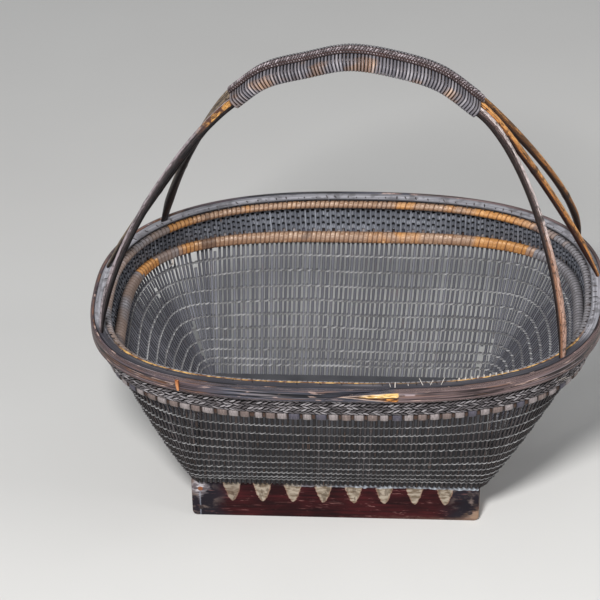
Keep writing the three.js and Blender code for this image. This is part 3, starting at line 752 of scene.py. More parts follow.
# %% Lashing
inner_turns = 276
turn_width, turn_thickness = 4.3 * mm, 0.42 * mm
highlight_angle = math.radians(125)
golden_reach = {"lower_inner": (0.12, 0.16, 0.6), "upper_inner": (0.12, 0.19, 0.5)}
golden_patch, golden_patch_half, golden_patch_strength = 0.679, 0.011, 1.6
wide_turns, wide_turns_end = 0.41, (0.07, 0.05)
lashing_steps, lashing_stretch = 16, 6


def smooth_share(value, low, high):
    """0 up to low, 1 from high on and a smooth rise between them, for numbers."""
    t = np.clip((value - low) / (high - low), 0, 1)
    return t * t * (3 - 2 * t)


def golden_share(around, full, reach, patch):
    """1 along the back and 0 from the reach on, with one patch more on the lower hoop."""
    from_back = np.abs(np.mod(around, 1) - 0.5)
    in_patch = np.abs(np.mod(around, 1) - golden_patch) < golden_patch_half
    return np.maximum(1 - smooth_share(from_back, full, reach), patch * in_patch)


def lashing(name, hoop):
    """One flat strand wound round a hoop in adjacent turns, with a painted highlight along one side of
    the hoop and painted shade at the edges of each turn. Where a pair of turns has that shade only on
    its outer edge, it looks like one turn of twice the width."""
    tints = random.random(inner_turns + 1)
    stretches = random.random(inner_turns // lashing_stretch + 2)
    full, reach, strength = golden_reach[name]
    patch = golden_patch_strength if hoop is lower_inner_hoop else 0

    def place(number, length, angle):
        turn = length * inner_turns
        whole = np.floor(turn).astype(int)
        w, t = section(angle, turn_width, turn_thickness)
        points = hoop_place(hoop, length, 2 * np.pi * turn, t, w)
        # Painted highlight: turns are paler where the hoop's section faces one fixed angle.
        crest_highlight = 0.58 + 0.42 * np.clip(np.cos(2 * np.pi * turn - highlight_angle), 0, 1) ** 3
        inner_edge = np.cos(angle) * (-1.0) ** whole > 0
        paired = smooth_share(np.abs(length - wide_turns), *wide_turns_end) * inner_edge
        # Painted shade: each turn darkens toward its edges.
        high = crest_highlight * (1 - (0.7 - 0.6 * paired) * np.abs(np.cos(angle)) ** 8)
        tint = golden_share(length, full, reach, patch) * strength
        tint = tint + 0.1 * tints[whole] + 0.3 * stretches[whole // lashing_stretch]
        return points, (np.mod(turn, 1) * 0.03 + whole * 0.31, w, high), tint

    return strands(inner_turns * lashing_steps, 6, 1, place)


def lashing_cane():
    """Grey cane where tint is low. Where it is high, golden at the basket's ends, pinkish between."""
    finish = Finish("hoop_lashing", 0.4)
    streak = (40, 1200, 60)
    grey, fibres = cane_colour(finish, (62, 58, 61), (140, 137, 141), (190, 187, 192), 0.98, streak, 0.7)
    pink, _ = cane_colour(finish, (96, 66, 48), (148, 114, 88), (232, 206, 184), 0.97, streak, 0.7)
    amber, _ = cane_colour(finish, (112, 68, 38), (198, 138, 76), (244, 198, 142), 0.98, streak, 0.7)
    place = finish.place()
    x, stretches = place.part(0), place.noise((26, 26, 5), 2.0, 4.0)
    amber_share = finish.maths("MAXIMUM", (stretches + x * 0.9).rise(0.47, 0.6), x.fall(-0.16, -0.14))
    brownish = x.fall(-0.19, -0.14) * stretches.rise(0.4, 0.6)
    stained = place.noise((40, 40, 8), 2.0, 15.0).rise(0.62, 0.66)
    colour = finish.layers(grey, (brownish * 0.6, (134, 106, 84)),
                           (finish.tint().rise(0.34, 0.56), finish.mix(amber_share, pink, amber)),
                           (stained * 0.55, (70, 52, 46)))
    return finish.surface(colour, fibres * 0.3 + 0.27, fibres, 0.2 * mm)


lashing_finish = lashing_cane()
for name, hoop in inner_hoops.items():
    piece(name + "_lashing", [lashing(name, hoop)], lashing_finish, "lashed_hoops", name + "_hoop")

# %% [markdown]
# Outside, the lower hoop shows between broad wraps of split cane, some pale, some slate grey. Each wrap
# is a closed band, so the grid's length goes once round the hoop's section.

# %% Outer hoop
wrap_total = 112
wrap_width, wrap_thickness = 9.3 * mm, 1.2 * mm


def outer_wraps():
    """Closed bands, mostly a pale one and a dark one by turns."""
    tints = 0.48 * random.random(wrap_total) + 0.52 * (np.arange(wrap_total) % 2)
    shift = random.normal(0, 0.06, wrap_total)
    widths = wrap_width * random.normal(1, 0.07, wrap_total)

    def place(number, length, angle):
        w = flattened(np.cos(angle), 0.85) * widths[number] / 2
        t = (flattened(np.sin(angle), 0.9) * 0.5 + 0.3) * wrap_thickness
        around = (number + 0.5 + shift[number]) / wrap_total
        points = hoop_place(outer_hoop, around, 2 * np.pi * length, t, w)
        return points, (length * 0.03 + number * 0.31, w, np.abs(np.sin(angle))), tints[number]

    return strands(18, 8, wrap_total, place)


def wrap_cane():
    """A wrap's tint makes it slate grey, brownish or pale. Painted shade darkens its edges."""
    finish = Finish("wrap_cane")
    tint, streak = finish.tint(), (30, 900, 60)
    slate, fibres = cane_colour(finish, (18, 16, 20), (72, 70, 82), (112, 106, 114), 1.0, streak, 0.8)
    brown, _ = cane_colour(finish, (26, 20, 20), (110, 96, 92), (148, 132, 126), 1.0, streak, 0.8)
    pale, _ = cane_colour(finish, (40, 33, 33), (118, 109, 109), (160, 151, 150), 0.92, streak, 0.8)
    colour = finish.layers(slate, (tint.rise(0.2, 0.22), brown), (tint.rise(0.49, 0.51), pale))
    return finish.surface(colour, fibres * 0.3 + 0.34, fibres, 0.25 * mm)


wrap_finish = wrap_cane()
piece("outer_wraps", [outer_wraps()], wrap_finish, "lashed_hoops", "lower_outer_hoop")
piece("outer_hoop_core", [hoop_core(outer_hoop)], hoop_finish, "lashed_hoops")

# %% [markdown]
# Between the hoops runs an openwork band: the stakes go on upward and five pairs of stout weavers are
# beaten close together, so that only small holes are left. A flat band with holes cut out would be
# simpler, but it would look stamped. Here the weavers really pass on either side of the stakes, and
# climb and drop between them, so the holes stand in a honeycomb.

# %% Collar band
band_rows, band_beats, band_tint_knots = 5, 262, 60
band_lowest, band_highest = 167.2 * mm, 191.5 * mm
band_room, band_climb, band_half_thickness = 0.95 * mm, 0.9 * mm, 0.75 * mm
band_cover = 0.66
band_stake_share, band_stake_out, band_stake_half_thickness = 0.22, -1.35 * mm, 0.6 * mm
band_stake_below, band_stake_above = 4 * mm, 2 * mm


def band_weaver(z, side):
    """One weaver of a pair. It passes a stake where its wave is farthest out or farthest in."""
    half_height = band_cover / 2 * (band_highest - band_lowest) / (band_rows - 1)
    tints = random.random(band_tint_knots)

    def place(number, length, angle):
        swing = np.pi * (length * band_beats + 0.5 + side)
        height = z + band_climb * np.sin(swing - np.pi * side)
        height = height + half_height * flattened(np.sin(angle), 0.8)
        out = band_room * np.cos(swing) + band_half_thickness * np.cos(angle)
        # Painted shade: where a weaver turns in behind a stake its crown height drops, so the finish
        # darkens it.
        grain = (length * 1.2 + side * 0.5, height, 0.5 + 0.5 * np.cos(swing) * np.cos(angle))
        tint = np.interp(length, np.linspace(0, 1, band_tint_knots), tints)
        return collar(length, height, out), grain, tint

    return strands(band_beats * 5, 6, 1, place)


def band_stakes():
    tints = random.uniform(0.3, 0.55, band_beats)
    bottom, top = band_lowest - band_stake_below, band_highest + band_stake_above

    def place(number, length, angle):
        z = bottom + (top - bottom) * length
        around = (number + 0.5 + flattened(np.cos(angle), 0.7) * band_stake_share) / band_beats
        out = band_stake_out + np.sin(angle) * band_stake_half_thickness
        return collar(around, z, out), (z + number * 0.37, around, np.abs(np.sin(angle))), tints[number]

    return strands(5, 6, band_beats, place)


band_heights = np.linspace(band_lowest, band_highest, band_rows)
band_meshes = [band_weaver(z, side) for z in band_heights for side in (0, 1)]
band_finish = cane_finish("band_cane", (42, 43, 50), (126, 129, 138), (168, 171, 180),
                          (130, 108, 94), 0.68, 0.65)
piece("collar_weave", band_meshes, band_finish, "collar_band", "collar_band")
piece("collar_stakes", [band_stakes()], band_finish, "collar_band")

# %% [markdown]
# The border under the rim is a braid of narrow strips. Braiding real strands would take a path for each,
# and what shows of a strip is only a short slanting lump between two crossings. So the braid is rows of
# lumps that slant up and down by turns, on a near-black backing ring that is painted shade between the
# lumps. A lump is a small sphere from one operator, drawn long and flat.

# %% Border braid
lump_rows, lumps_per_row = 5, 262
lump_half_length, lump_half_width, lump_lift = 3.9 * mm, 1.2 * mm, 1.2 * mm
lump_tuck = 0.3 * mm
braid_lowest, braid_highest = 167.0 * mm, 182.6 * mm
braid_surface = 4.6 * mm
braid_slant = math.radians(27)
backing_z, backing_out = 174.6 * mm, 2.9 * mm
backing_height, backing_thickness = 18.8 * mm, 3.2 * mm


def lumps(count, place):
    """Small lumps. place gets each vertex's lump and its unit coordinates along, across and out."""
    bm = bmesh.new()
    bmesh.ops.create_uvsphere(bm, u_segments=8, v_segments=5, radius=1.0)
    bmesh.ops.rotate(bm, verts=bm.verts, matrix=Matrix.Rotation(math.pi / 2, 3, "Y"))
    mesh, number, co = repeated(bm, count)
    set_points(mesh, *place(number, *co.T))
    return mesh


def braid_row(row):
    """One row of lumps, which bulges outward at half the braid's height."""
    z = braid_lowest + (braid_highest - braid_lowest) * row / (lump_rows - 1)
    lean = braid_slant * (1 if row % 2 else -1)
    tints = random.random(lumps_per_row)
    shift = random.normal(0, 0.06, (lumps_per_row, 2))
    size = random.normal(1, 0.1, lumps_per_row)
    bulge = 0.5 * (1 - ((z - braid_lowest) / (braid_highest - braid_lowest) * 2 - 1) ** 2) * mm

    def place(number, along, across, out):
        a, b = along * lump_half_length * size[number], across * lump_half_width
        height = z + a * math.sin(lean) + b * math.cos(lean) + shift[number, 0] * 4 * mm
        sideways = a * math.cos(lean) - b * math.sin(lean)
        around = (number + 0.5 * (row % 2) + shift[number, 1]) / lumps_per_row + sideways / ring_girth(z)
        points = collar(around, height, braid_surface + bulge + out * lump_lift - lump_tuck * along)
        return points, (a + number * 0.23, b, crown(out)), tints[number]

    return lumps(lumps_per_row, place)


def backing_ring():
    def place(number, length, angle):
        out, lift = section(angle, backing_thickness, backing_height, (0.5, 0.5))
        points = collar(length, backing_z + lift, backing_out + out)
        return points, (length * 1.2, angle * 2 * mm, crown(np.sin(angle))), 0.4

    return strands(ring_steps, ring_sides, 1, place)


braid_finish = cane_finish("braid_cane", (18, 14, 16), (116, 110, 113), (176, 171, 174), (130, 98, 76),
                           0.64, 0.5, 0.9, (60, 1200, 60))
# Painted shade: the near-black backing shows in the gaps between the lumps.
shade_finish = cane_finish("braid_shade", (10, 9, 10), (22, 20, 20), (34, 31, 30), (30, 22, 18),
                           0.6, 0.8)
braid_meshes = [braid_row(row) for row in range(lump_rows)]
piece("braid_lumps", braid_meshes, braid_finish, "border_braid", "border_braid")
piece("braid_backing", [backing_ring()], shade_finish, "border_braid")

# %% [markdown]
# The rim strip is one broad flat cane bent round the mouth. Its ends are pared thin and lie over each
# other at the front, and the outer end comes to a point. Two overlapping curves could show that, but
# pared ends need a section that changes along the way, so the strip is again a rolled grid. The tint
# holds the distance from the pointed end, in lengths of the scarf, for the finish to read.

# %% Rim strip
strip_height = rim_high.z - rim_low.z
scarf_tip, scarf_length = -12 * mm, 56 * mm
scarf_edge, layer_gap = 0.4 * mm, 0.3 * mm
scarf_top_cut, scarf_bottom_cut, scarf_bluntness = 0.78, 0.12, 0.8
strip_edge = 0.35
farthest_tint = 3


def strip_mesh():
    start, stop = (scarf_tip + scarf_length) / rim_girth, scarf_tip / rim_girth - 1
    scarf = scarf_length / rim_girth
    pared = strip_outer - strip_inner - 2 * scarf_edge - layer_gap

    def place(number, length, angle):
        around = start + (stop - start) * length
        from_start, from_stop = (start - around) / scarf, (around - stop) / scarf
        outer = np.where(from_start < 1, strip_inner + scarf_edge + pared * from_start, strip_outer)
        inner = np.where(from_stop < 1, strip_outer - scarf_edge - pared * from_stop, strip_inner)
        point = 1 - np.clip(from_stop, 0, 1) ** scarf_bluntness
        top = rim_top - strip_height * scarf_top_cut * point
        bottom = rim_low.z + strip_height * scarf_bottom_cut * point
        across, lift = section(angle, outer - inner, top - bottom, (strip_edge, strip_edge))
        out, z = (inner + outer) / 2 + across, (top + bottom) / 2 + lift
        grain = (length * rim_girth, z, crown(np.cos(angle)))
        return collar(around, z, out), grain, np.clip(from_stop, 0, farthest_tint)

    return strands(2 * ring_steps, 20, 1, place)


rim_mesh = strip_mesh()
print("rim strip:", len(rim_mesh.polygons), "faces")

# %% [markdown]
# The strip is dark slate in front and purplish brown elsewhere. Where the skin of the scarf broke off,
# a long facet of splintered golden wood shows, which widens away from the pointed end. The facet is no
# cut in the mesh: it is a mask from the distance to its middle line, with an edge as ragged as a break.

# %% Rim strip's finish
slate_left, slate_right = -115 * mm, 47 * mm
facet_middle, facet_half = 6.4 * mm, 4.6 * mm


def scarf_wood(finish, height, fibres, lines):
    """The facet's mask and its wood, pale above, brown below and splintered."""
    low, from_tip = rim_low.z, finish.tint()
    splinters = finish.place().noise((170, 170, 900), 4.0, 31.0)
    from_middle = abs(height - (low + facet_middle) + fibres * 2 * mm - mm)
    reach = from_tip.rise(0.0, 1.15) * facet_half - from_middle
    on_scarf = (from_tip + fibres * 0.08).fall(1.16, 1.18) * finish.grain().part(2).rise(0.2, 0.5)
    upper = (height + fibres * 5 * mm).rise(low + 8.2 * mm, low + 9.2 * mm)
    low_gold = height.fall(low + 4.6 * mm, low + 5.4 * mm) * from_tip.rise(0.8, 0.95)
    # The near-white flecks on the facet's upper part are pale splinters with painted glints.
    wood = finish.layers(finish.mix(upper, (62, 36, 22), (238, 192, 120)),
                         (lines.fall(0.38, 0.46) * 0.8, (40, 24, 16)),
                         (low_gold * splinters.rise(0.46, 0.56), (210, 140, 66)),
                         (upper * splinters.rise(0.56, 0.64) * 0.8, (255, 240, 214)),
                         (splinters.fall(0.36, 0.44) * 0.75, (96, 58, 34)))
    wood = finish.mix((from_tip + splinters * 0.5).rise(0.72, 0.95), (62, 46, 42), wood)
    pale_edge = reach.fall(0.5 * mm, 1.0 * mm) * from_tip.fall(0.85, 1.0)
    wood = finish.mix(pale_edge * 0.85, wood, (198, 174, 160))
    return reach.rise(-0.1 * mm, 0.2 * mm) * on_scarf, wood


def strip_finish():
    """Dark slate cane in front, purplish brown elsewhere, golden where the scarf's skin broke off."""
    finish = Finish("rim_cane", 0.25)
    grain, place, from_tip, low = finish.grain(), finish.place(), finish.tint(), rim_low.z
    x, height = place.part(0), place.part(2)
    fibres = grain.noise((10, 700, 60), 5.0)
    clouds = grain.noise((22, 60, 60), 3.0, 1.0)
    lines = grain.noise((14, 900, 60), 2.0, 5.0)
    light = (fibres * 0.9 + clouds).rise(0.78, 1.1)
    rusty = grain.noise((40, 220, 60), 4.0, 21.0).rise(0.56, 0.64) * x.fall(-0.1, -0.04)
    purple = finish.mix(light, (18, 12, 14),
                        finish.mix(x.rise(-0.05, 0.05), (90, 78, 84), (118, 99, 99)))
    purple = finish.mix(rusty * 0.45, purple, (144, 96, 62))
    in_front = (x + clouds * 30 * mm).rise(slate_left, slate_left + 40 * mm)
    in_front = in_front * x.fall(slate_right, slate_right + 3 * mm)
    brown = grain.noise((26, 160, 60), 3.0, 8.0).rise(0.58, 0.66)
    rubbed = grain.noise((70, 190, 60), 4.0, 14.0).rise(0.61, 0.67)
    # Painted shade along the strip's lower edge, where it meets the braid.
    lower_edge_shade = (height + fibres * mm).fall(low + 1.0 * mm, low + 1.8 * mm)
    facet, wood = scarf_wood(finish, height, fibres, lines)
    knot = (from_tip + fibres * 0.06).rise(1.24, 1.27) * from_tip.fall(1.36, 1.4)
    spot = knot * height.rise(low + 7 * mm, low + 8 * mm) * lines.rise(0.45, 0.52)
    spot = spot * height.fall(low + 9.4 * mm, low + 10 * mm)
    colour = finish.layers(purple, (in_front, finish.mix(light, (10, 11, 17), (74, 75, 86))),
                           (brown * 0.6, (128, 96, 80)), (rubbed * 0.8, (186, 160, 150)),
                           (lines.rise(0.6, 0.68) * 0.6, (150, 142, 146)),
                           (lines.fall(0.3, 0.38) * 0.8, (12, 9, 10)), (lower_edge_shade * 0.5, (12, 9, 10)),
                           (facet, wood), (spot * 0.7, (190, 172, 176)))
    height = fibres + lines * 0.6 - facet * 0.8
    return finish.surface(colour, fibres * 0.3 + rubbed * 0.2 + 0.26, height, 0.3 * mm)


piece("rim_cane", [rim_mesh], strip_finish(), "rim_strip", "rim_strip")

# %% [markdown]
# Behind the rim strip a smooth flat liner covers the top of the border and the hoop under it, and thin
# dark ties hook over its inner edge. At the front the liner's inner edge is rubbed to golden wood.
# Each is a strand as before: the liner a single ring, the ties short strips that stand close together.

# %% Rim liner
liner_middle_out, liner_middle_z = 0.5 * mm, 196.95 * mm
liner_width, liner_thickness, liner_lean = 9.2 * mm, 1.7 * mm, 0.05
tie_total = 132
tie_half_width, tie_half_thickness, tie_slant = 0.65 * mm, 0.45 * mm, 3.5 * mm
tie_inside, tie_length, tie_foot, tie_climb = -6.3 * mm, 8 * mm, 195.9 * mm, 1.8 * mm
golden_from, golden_to, golden_left = 70 * mm, 100 * mm, -205 * mm


def liner_mesh():
    def place(number, length, angle):
        aside, lift = section(angle, liner_width, liner_thickness, (0.5, 0.5))
        points = collar(length, liner_middle_z + aside * liner_lean + lift, liner_middle_out + aside)
        return points, (length * 1.2, aside, crown(np.sin(angle))), 0.6

    return strands(ring_steps, ring_sides, 1, place)


def rim_ties():
    """Ties of uneven reach that climb over the liner's edge and lie flat on it."""
    shift = random.normal(0, 0.14, tie_total)
    reach = random.uniform(0.5, 1.0, tie_total)
    slant = tie_slant * random.uniform(-0.2, 1.2, tie_total)
    tints = random.random(tie_total)

    def place(number, length, angle):
        share = length * reach[number]
        out = tie_inside + tie_length * share
        z = tie_foot + tie_climb * np.minimum(share * 1.6, 1) + tie_half_thickness * np.sin(angle)
        along = slant[number] * share + tie_half_width * np.cos(angle)
        points = collar((number + shift[number]) / tie_total + along / rim_girth, z, out)
        return points, (out + number * 0.2, along, np.abs(np.sin(angle))), tints[number]

    return strands(6, 6, tie_total, place)


def liner_cane():
    """Pale grey cane behind and dark in front, where the inner edge is rubbed to golden wood."""
    finish = Finish("liner_cane")
    streak = (10, 600, 60)
    pale, fibres = cane_colour(finish, (62, 62, 66), (132, 131, 137), (184, 182, 188), 0.9, streak)
    dark, _ = cane_colour(finish, (14, 13, 18), (56, 55, 63), (116, 112, 116), 1.0, streak)
    place = finish.place()
    x, y = place.part(0), place.part(1)
    clouds = place.noise((40, 40, 40), 3.0, 5.0)
    in_front = (clouds * 30 * mm - y).rise(golden_from, golden_to)
    scuffs = place.noise((110, 110, 110), 5.0, 12.0).rise(0.5, 0.62)
    splinters = place.noise((160, 160, 160), 3.0, 8.0).rise(0.4, 0.62)
    golden = finish.mix(splinters, (128, 80, 40), (240, 190, 112))
    ragged = x + clouds * 10 * mm
    lost = ragged.rise(20 * mm, 35 * mm) * ragged.fall(95 * mm, 110 * mm)
    rubbed = (finish.grain().part(1) + clouds * 3.2 * mm).fall(-1.3 * mm, -0.5 * mm) * in_front
    rubbed = rubbed * x.rise(golden_left, golden_left + 20 * mm) * (1 - lost * 0.75)
    colour = finish.layers(pale, (scuffs * 0.6, (82, 79, 82)), (in_front, dark), (rubbed, golden))
    return finish.surface(colour, fibres * 0.3 + 0.32, fibres + clouds * 0.6, 0.25 * mm)


piece("rim_liner", [liner_mesh()], liner_cane(), "border_braid")
tie_finish = cane_finish("tie_cane", (14, 11, 12), (52, 45, 46), (96, 88, 88), (80, 58, 44), 0.62, 0.6)
piece("rim_ties", [rim_ties()], tie_finish, "border_braid")

# %% [markdown]
# Small loose ends catch the eye in the photograph: an orange peg and two pale pins in the rim strip,
# stubs and fibres that stand up where the strip's ends meet, and the heads of ties inside the rim. Each
# is a thin tapered stick between two places on the collar. A place is the share of the way round, then
# the height and the distance outward in millimetres, and the stick's last number is its radius.

# %% Loose ends
peg_ends = [((-0.1122, 196.5, 9.0), (-0.1118, 186, 9.0), 1.9)]
pin_ends = [((-0.0335, 190, 7.8), (-0.0335, 190.2, 8.58), 0.9),
            ((-0.0286, 189.6, 7.8), (-0.0286, 189.8, 8.58), 0.8)]
stub_ends = [((0.0389, 195, 3.5), (0.0392, 203, 3.2), 0.7),
             ((0.0365, 195, 3.0), (0.0352, 201, 2.2), 0.5),
             ((0.0485, 195, 1.5), (0.0480, 200, 1.0), 0.5)]
fibre_ends = [((0.0591, 196, 2.0), (0.0560, 203, -2.0), 0.45),
              ((0.0625, 196, 2.0), (0.0655, 202, 0.0), 0.4),
              ((0.0702, 196, 2.0), (0.0735, 204, 0.5), 0.45),
              ((0.0680, 196, 1.0), (0.0610, 200, -1.0), 0.4),
              ((0.1555, 176, 5.5), (0.1605, 181.5, 10.5), 0.4),
              ((0.1600, 173, 5.5), (0.1650, 178, 11.0), 0.4)]
tie_heads = [((around, 196.2, -3.6), (around + 0.0002, 199.6, -3.2), 1.1)
             for around in 0.084 + 0.0045 * np.arange(9)]
hoop_stub = [((0.6505, 158.5, -6.5), (0.6525, 152.5, -12.5), 1.6),
             ((0.6522, 153.2, -12.0), (0.6545, 149.5, -10.0), 1.3)]
stick_taper, level_stick = 0.45, 1 * mm


def sticks(ends):
    """Tapered sticks. A level one has its section in height, any other has it outward."""
    start, end = (np.array([pair[i] for pair in ends]) * [1, mm, mm] for i in (0, 1))
    radius = np.array([pair[2] for pair in ends]) * mm

    def place(number, length, angle):
        around, z, out = (start[number] + (end - start)[number] * length[:, None]).T
        thick = radius[number] * (1 - stick_taper * length ** 2)
        across, lift = thick * np.cos(angle), thick * np.sin(angle)
        level = np.abs((end - start)[number, 1]) < level_stick
        points = collar(around + across / rim_girth, z + lift * level, out + lift * ~level)
        grain = (length * 6 * mm + number * 0.3, across, np.abs(np.sin(angle)))
        return points, grain, 0.3 + 0.6 * length

    return strands(5, 8, len(ends), place)


splinter_finish = cane_finish("splinter_cane", (84, 76, 72), (164, 154, 148), (208, 200, 192),
                              (196, 172, 144), 0.7, 0.6, 0.75)
orange_finish = cane_finish("orange_peg", (84, 42, 24), (162, 94, 50), (206, 140, 92),
                            (130, 76, 44), 0.7, 0.45, 0.8)
loose_ends = pin_ends + stub_ends + fibre_ends + tie_heads
piece("strip_peg", [sticks(peg_ends)], orange_finish, "rim_strip")
piece("loose_ends", [sticks(loose_ends)], splinter_finish, "border_braid")
piece("hoop_stub", [sticks(hoop_stub)], splinter_finish, "lashed_hoops")

# %% [markdown]
# The handle is three split canes. Side by side they make the grip, and below it they part and enter the
# rim at six places. The middle of a cane follows one smooth curve through points chosen on the grip, and
# each leg is a Bezier curve from the grip's end to its seat in the border. Both could be curve objects,
# but their points are needed as numbers, for the winding that comes later.

# %% Handle curves
grip_left, grip_peak, grip_right = -97 * mm, 4 * mm, 116 * mm
grip_left_height, grip_top, grip_right_height = 394.7 * mm, 435.7 * mm, 389.2 * mm
left_shape, right_shape = ((0.72, 0.46), (0.36, 0.19)), ((0.36, 0.13), (0.7, 0.42))
curve_blends = ([(0, 1), (1, 2), (2, 3)], [(0, 2), (1, 3)], [(1, 2)])


def smooth_curve(points, samples):
    """A centripetal Catmull-Rom curve through points, sampled evenly along its length."""
    points = np.array(points, float)
    points = np.vstack([2 * points[0] - points[1], points, 2 * points[-1] - points[-2]])
    found = []
    for i in range(1, len(points) - 2):
        curve = points[i - 1:i + 3]
        k = np.concatenate([[0], np.cumsum(np.linalg.norm(np.diff(curve, axis=0), axis=1) ** 0.5)])
        t = np.linspace(k[1], k[2], 60)[:, None]
        for spans in curve_blends:
            curve = [((k[high] - t) * curve[j] + (t - k[low]) * curve[j + 1]) / (k[high] - k[low])
                     for j, (low, high) in enumerate(spans)]
        found.append(curve[0])
    return evenly(np.vstack(found), samples)


def grip_line(samples=200):
    left, right = grip_peak - grip_left, grip_right - grip_peak
    left_drop, right_drop = grip_top - grip_left_height, grip_top - grip_right_height
    points = [(grip_left, 0, grip_left_height)]
    points += [(grip_peak - left * out, 0, grip_top - left_drop * drop) for out, drop in left_shape]
    points += [(grip_peak, 0, grip_top)]
    points += [(grip_peak + right * out, 0, grip_top - right_drop * drop) for out, drop in right_shape]
    return smooth_curve(points + [(grip_right, 0, grip_right_height)], samples)


grip_path = grip_line()
grip_length = lengths_along(grip_path)[-1]
print("grip", round(grip_length / mm), "mm long")

# %% [markdown]
# A leg turns its flat side to the rim and grows thin where it enters the border. So each of its points
# holds the middle line, the direction in which the cane is wide, and its width and thickness. A leg's
# shape is the share of the way round the rim, the length of the straight shoulder under the grip, and
# two shares that say how the foot of the curve leans and climbs.

# %% Legs
cane_width, cane_thickness = 10.4 * mm, 9 * mm
leg_width, leg_thickness = 9.2 * mm, 7.4 * mm
seat_width, seat_thickness = 7.6 * mm, 3.7 * mm
seat_height, seat_out = 184.6 * mm, 2 * mm
entry_depth, foot_taper = 0.3 * mm, 34 * mm
cane_gap = 0.3 * mm
cane_rows = {"front": -1, "middle": 0, "back": 1}
leg_shapes = {
    "front": {"left": (0.806, 48 * mm, 0.07, 0.45), "right": (0.163, 48 * mm, -0.02, 0.45)},
    "middle": {"left": (0.722, 22 * mm, 0.25, 0.30), "right": (0.272, 30 * mm, 0.22, 0.32)},
    "back": {"left": (0.65, 22 * mm, 0.18, 0.34), "right": (0.32, 16 * mm, -0.1, 0.22)},
}
leg_samples = 90


def unit(rows):
    return rows / np.linalg.norm(rows, axis=-1, keepdims=True)


def aside_of(row):
    """How far a cane's middle lies from the grip's middle line."""
    return np.array([0, cane_rows[row] * (cane_width + cane_gap), 0])


def leg(row, side):
    """Centre, width direction, width and thickness of a leg, from its seat up to the grip."""
    around, shoulder, lean, climb = leg_shapes[row][side]
    end, inner = (0, 3) if side == "left" else (-1, -4)
    head = grip_path[end] + aside_of(row)
    seat = collar(around, seat_height, seat_out)
    entry = collar(around, rim_top - entry_depth, seat_out)
    lower = entry + (head - entry) * [lean, lean, climb]
    upper = head + unit(grip_path[end] - grip_path[inner]) * shoulder
    t = np.linspace(0, 1, leg_samples)[:, None]
    weights = (1 - t) ** 3, 3 * (1 - t) ** 2 * t, 3 * (1 - t) * t * t, t ** 3
    curve = sum(weight * point for weight, point in zip(weights, (entry, lower, upper, head)))
    path = evenly(np.vstack([seat, curve]), leg_samples)
    outward = collar(around, rim_top, mm) - collar(around, rim_top, 0)
    rimwise = np.array([-outward[1], outward[0], 0]) / mm
    rimwise *= 1 if rimwise[1] > 0 else -1
    blend = smooth_share(t, 0, 0.8)
    wide = rimwise * (1 - blend) + np.array([0, 1, 0]) * blend
    swell = smooth_share(np.linalg.norm(path - entry, axis=1), 0, foot_taper)
    swell[path[:, 2] < entry[2]] = 0
    near = smooth_share(t[:, 0], 0.6, 1)
    spans = ((seat_width, leg_width, cane_width), (seat_thickness, leg_thickness, cane_thickness))
    width, thickness = (foot + (body + (top - body) * near - foot) * swell for foot, body, top in spans)
    return path, wide, width, thickness


legs = {(row, side): leg(row, side) for row in leg_shapes for side in ("left", "right")}
print("legs:", [round(lengths_along(made[0])[-1] / mm) for made in legs.values()], "mm long")

# %% [markdown]
# Each cane is one strand from seat to seat: the left leg, the grip and the right leg turned round. The
# section stays upright along the grip because the direction in which the cane is wide is given, and
# isn't left to the path. Two nodes of the cane stand out as rings.

# %% Handle canes
grip_samples = 90
left_node, right_nodes = 0.16, {"front": 0.815, "middle": 0.79, "back": 0.9}
node_length, node_growth = 0.004, 0.7 * mm
split_flatness = 0.8


def cane_stations(row):
    """Centre, width direction, width and thickness along a whole cane."""
    left, right = legs[row, "left"], legs[row, "right"]
    middle = (evenly(grip_path, grip_samples) + aside_of(row))[1:-1]
    grip = (middle, np.tile([0, 1, 0], (len(middle), 1)), np.full(len(middle), cane_width),
            np.full(len(middle), cane_thickness))
    return [np.concatenate([first, held, last[::-1]]) for first, held, last in zip(left, grip, right)]


def cane(row):
    path, wide, width, thickness = cane_stations(row)
    run = unit(np.gradient(path, axis=0))
    inward = unit(np.cross(wide, run))
    side = np.cross(run, inward)
    last = len(path) - 1
    nodes_at = np.array([left_node, right_nodes[row]]) + random.normal(0, 0.02, 2) * [1, 0]

    def place(number, length, angle):
        i = np.round(length * last).astype(int)
        knot = sum(np.exp(-((length - at) / node_length) ** 2) for at in nodes_at) * node_growth
        w, t = section(angle, width[i] + knot, thickness[i] + knot, (0.85, 0.9))
        t = t * np.where(t > 0, 1.0, split_flatness)
        points = path[i] + side[i] * w[:, None] - inward[i] * t[:, None]
        return points, (length * 0.9 + cane_rows[row] * 0.3, w, crown(np.sin(angle))), length

    return strands(last, 16, 1, place)


cane_meshes = {row: cane(row) for row in cane_rows}
print("canes:", {row: len(mesh.polygons) for row, mesh in cane_meshes.items()}, "faces")

# %% [markdown]
# The canes are polished by hands. Painted shade darkens them at their sides, and they are pale along
# the crown, where they are rubbed and where a painted highlight runs. Each has its own colour, which
# changes from the left leg to the right one. One finish serves all three, with the colours of both
# ends, and it adds what a single cane has: a torn patch of golden wood on the front one, and charred
# spots on the back one.

# %% Canes' finish
patch_top, patch_length = 0.33, 0.055
cane_skins = {
    "dark": ((14, 10, 12), (82, 70, 72), (184, 170, 174)),
    "purple": ((26, 16, 15), (96, 75, 72), (238, 222, 218)),
    "brown": ((16, 11, 10), (84, 66, 50), (150, 130, 108)),
    "orange": ((44, 22, 16), (192, 118, 58), (240, 174, 102)),
    "amber": ((40, 24, 16), (180, 110, 52), (230, 164, 92)),
}
cane_looks = {"front": ("dark", "purple", 1.0, 0.0), "middle": ("brown", "orange", 0.0, 0.0),
              "back": ("brown", "amber", 0.0, 0.85)}


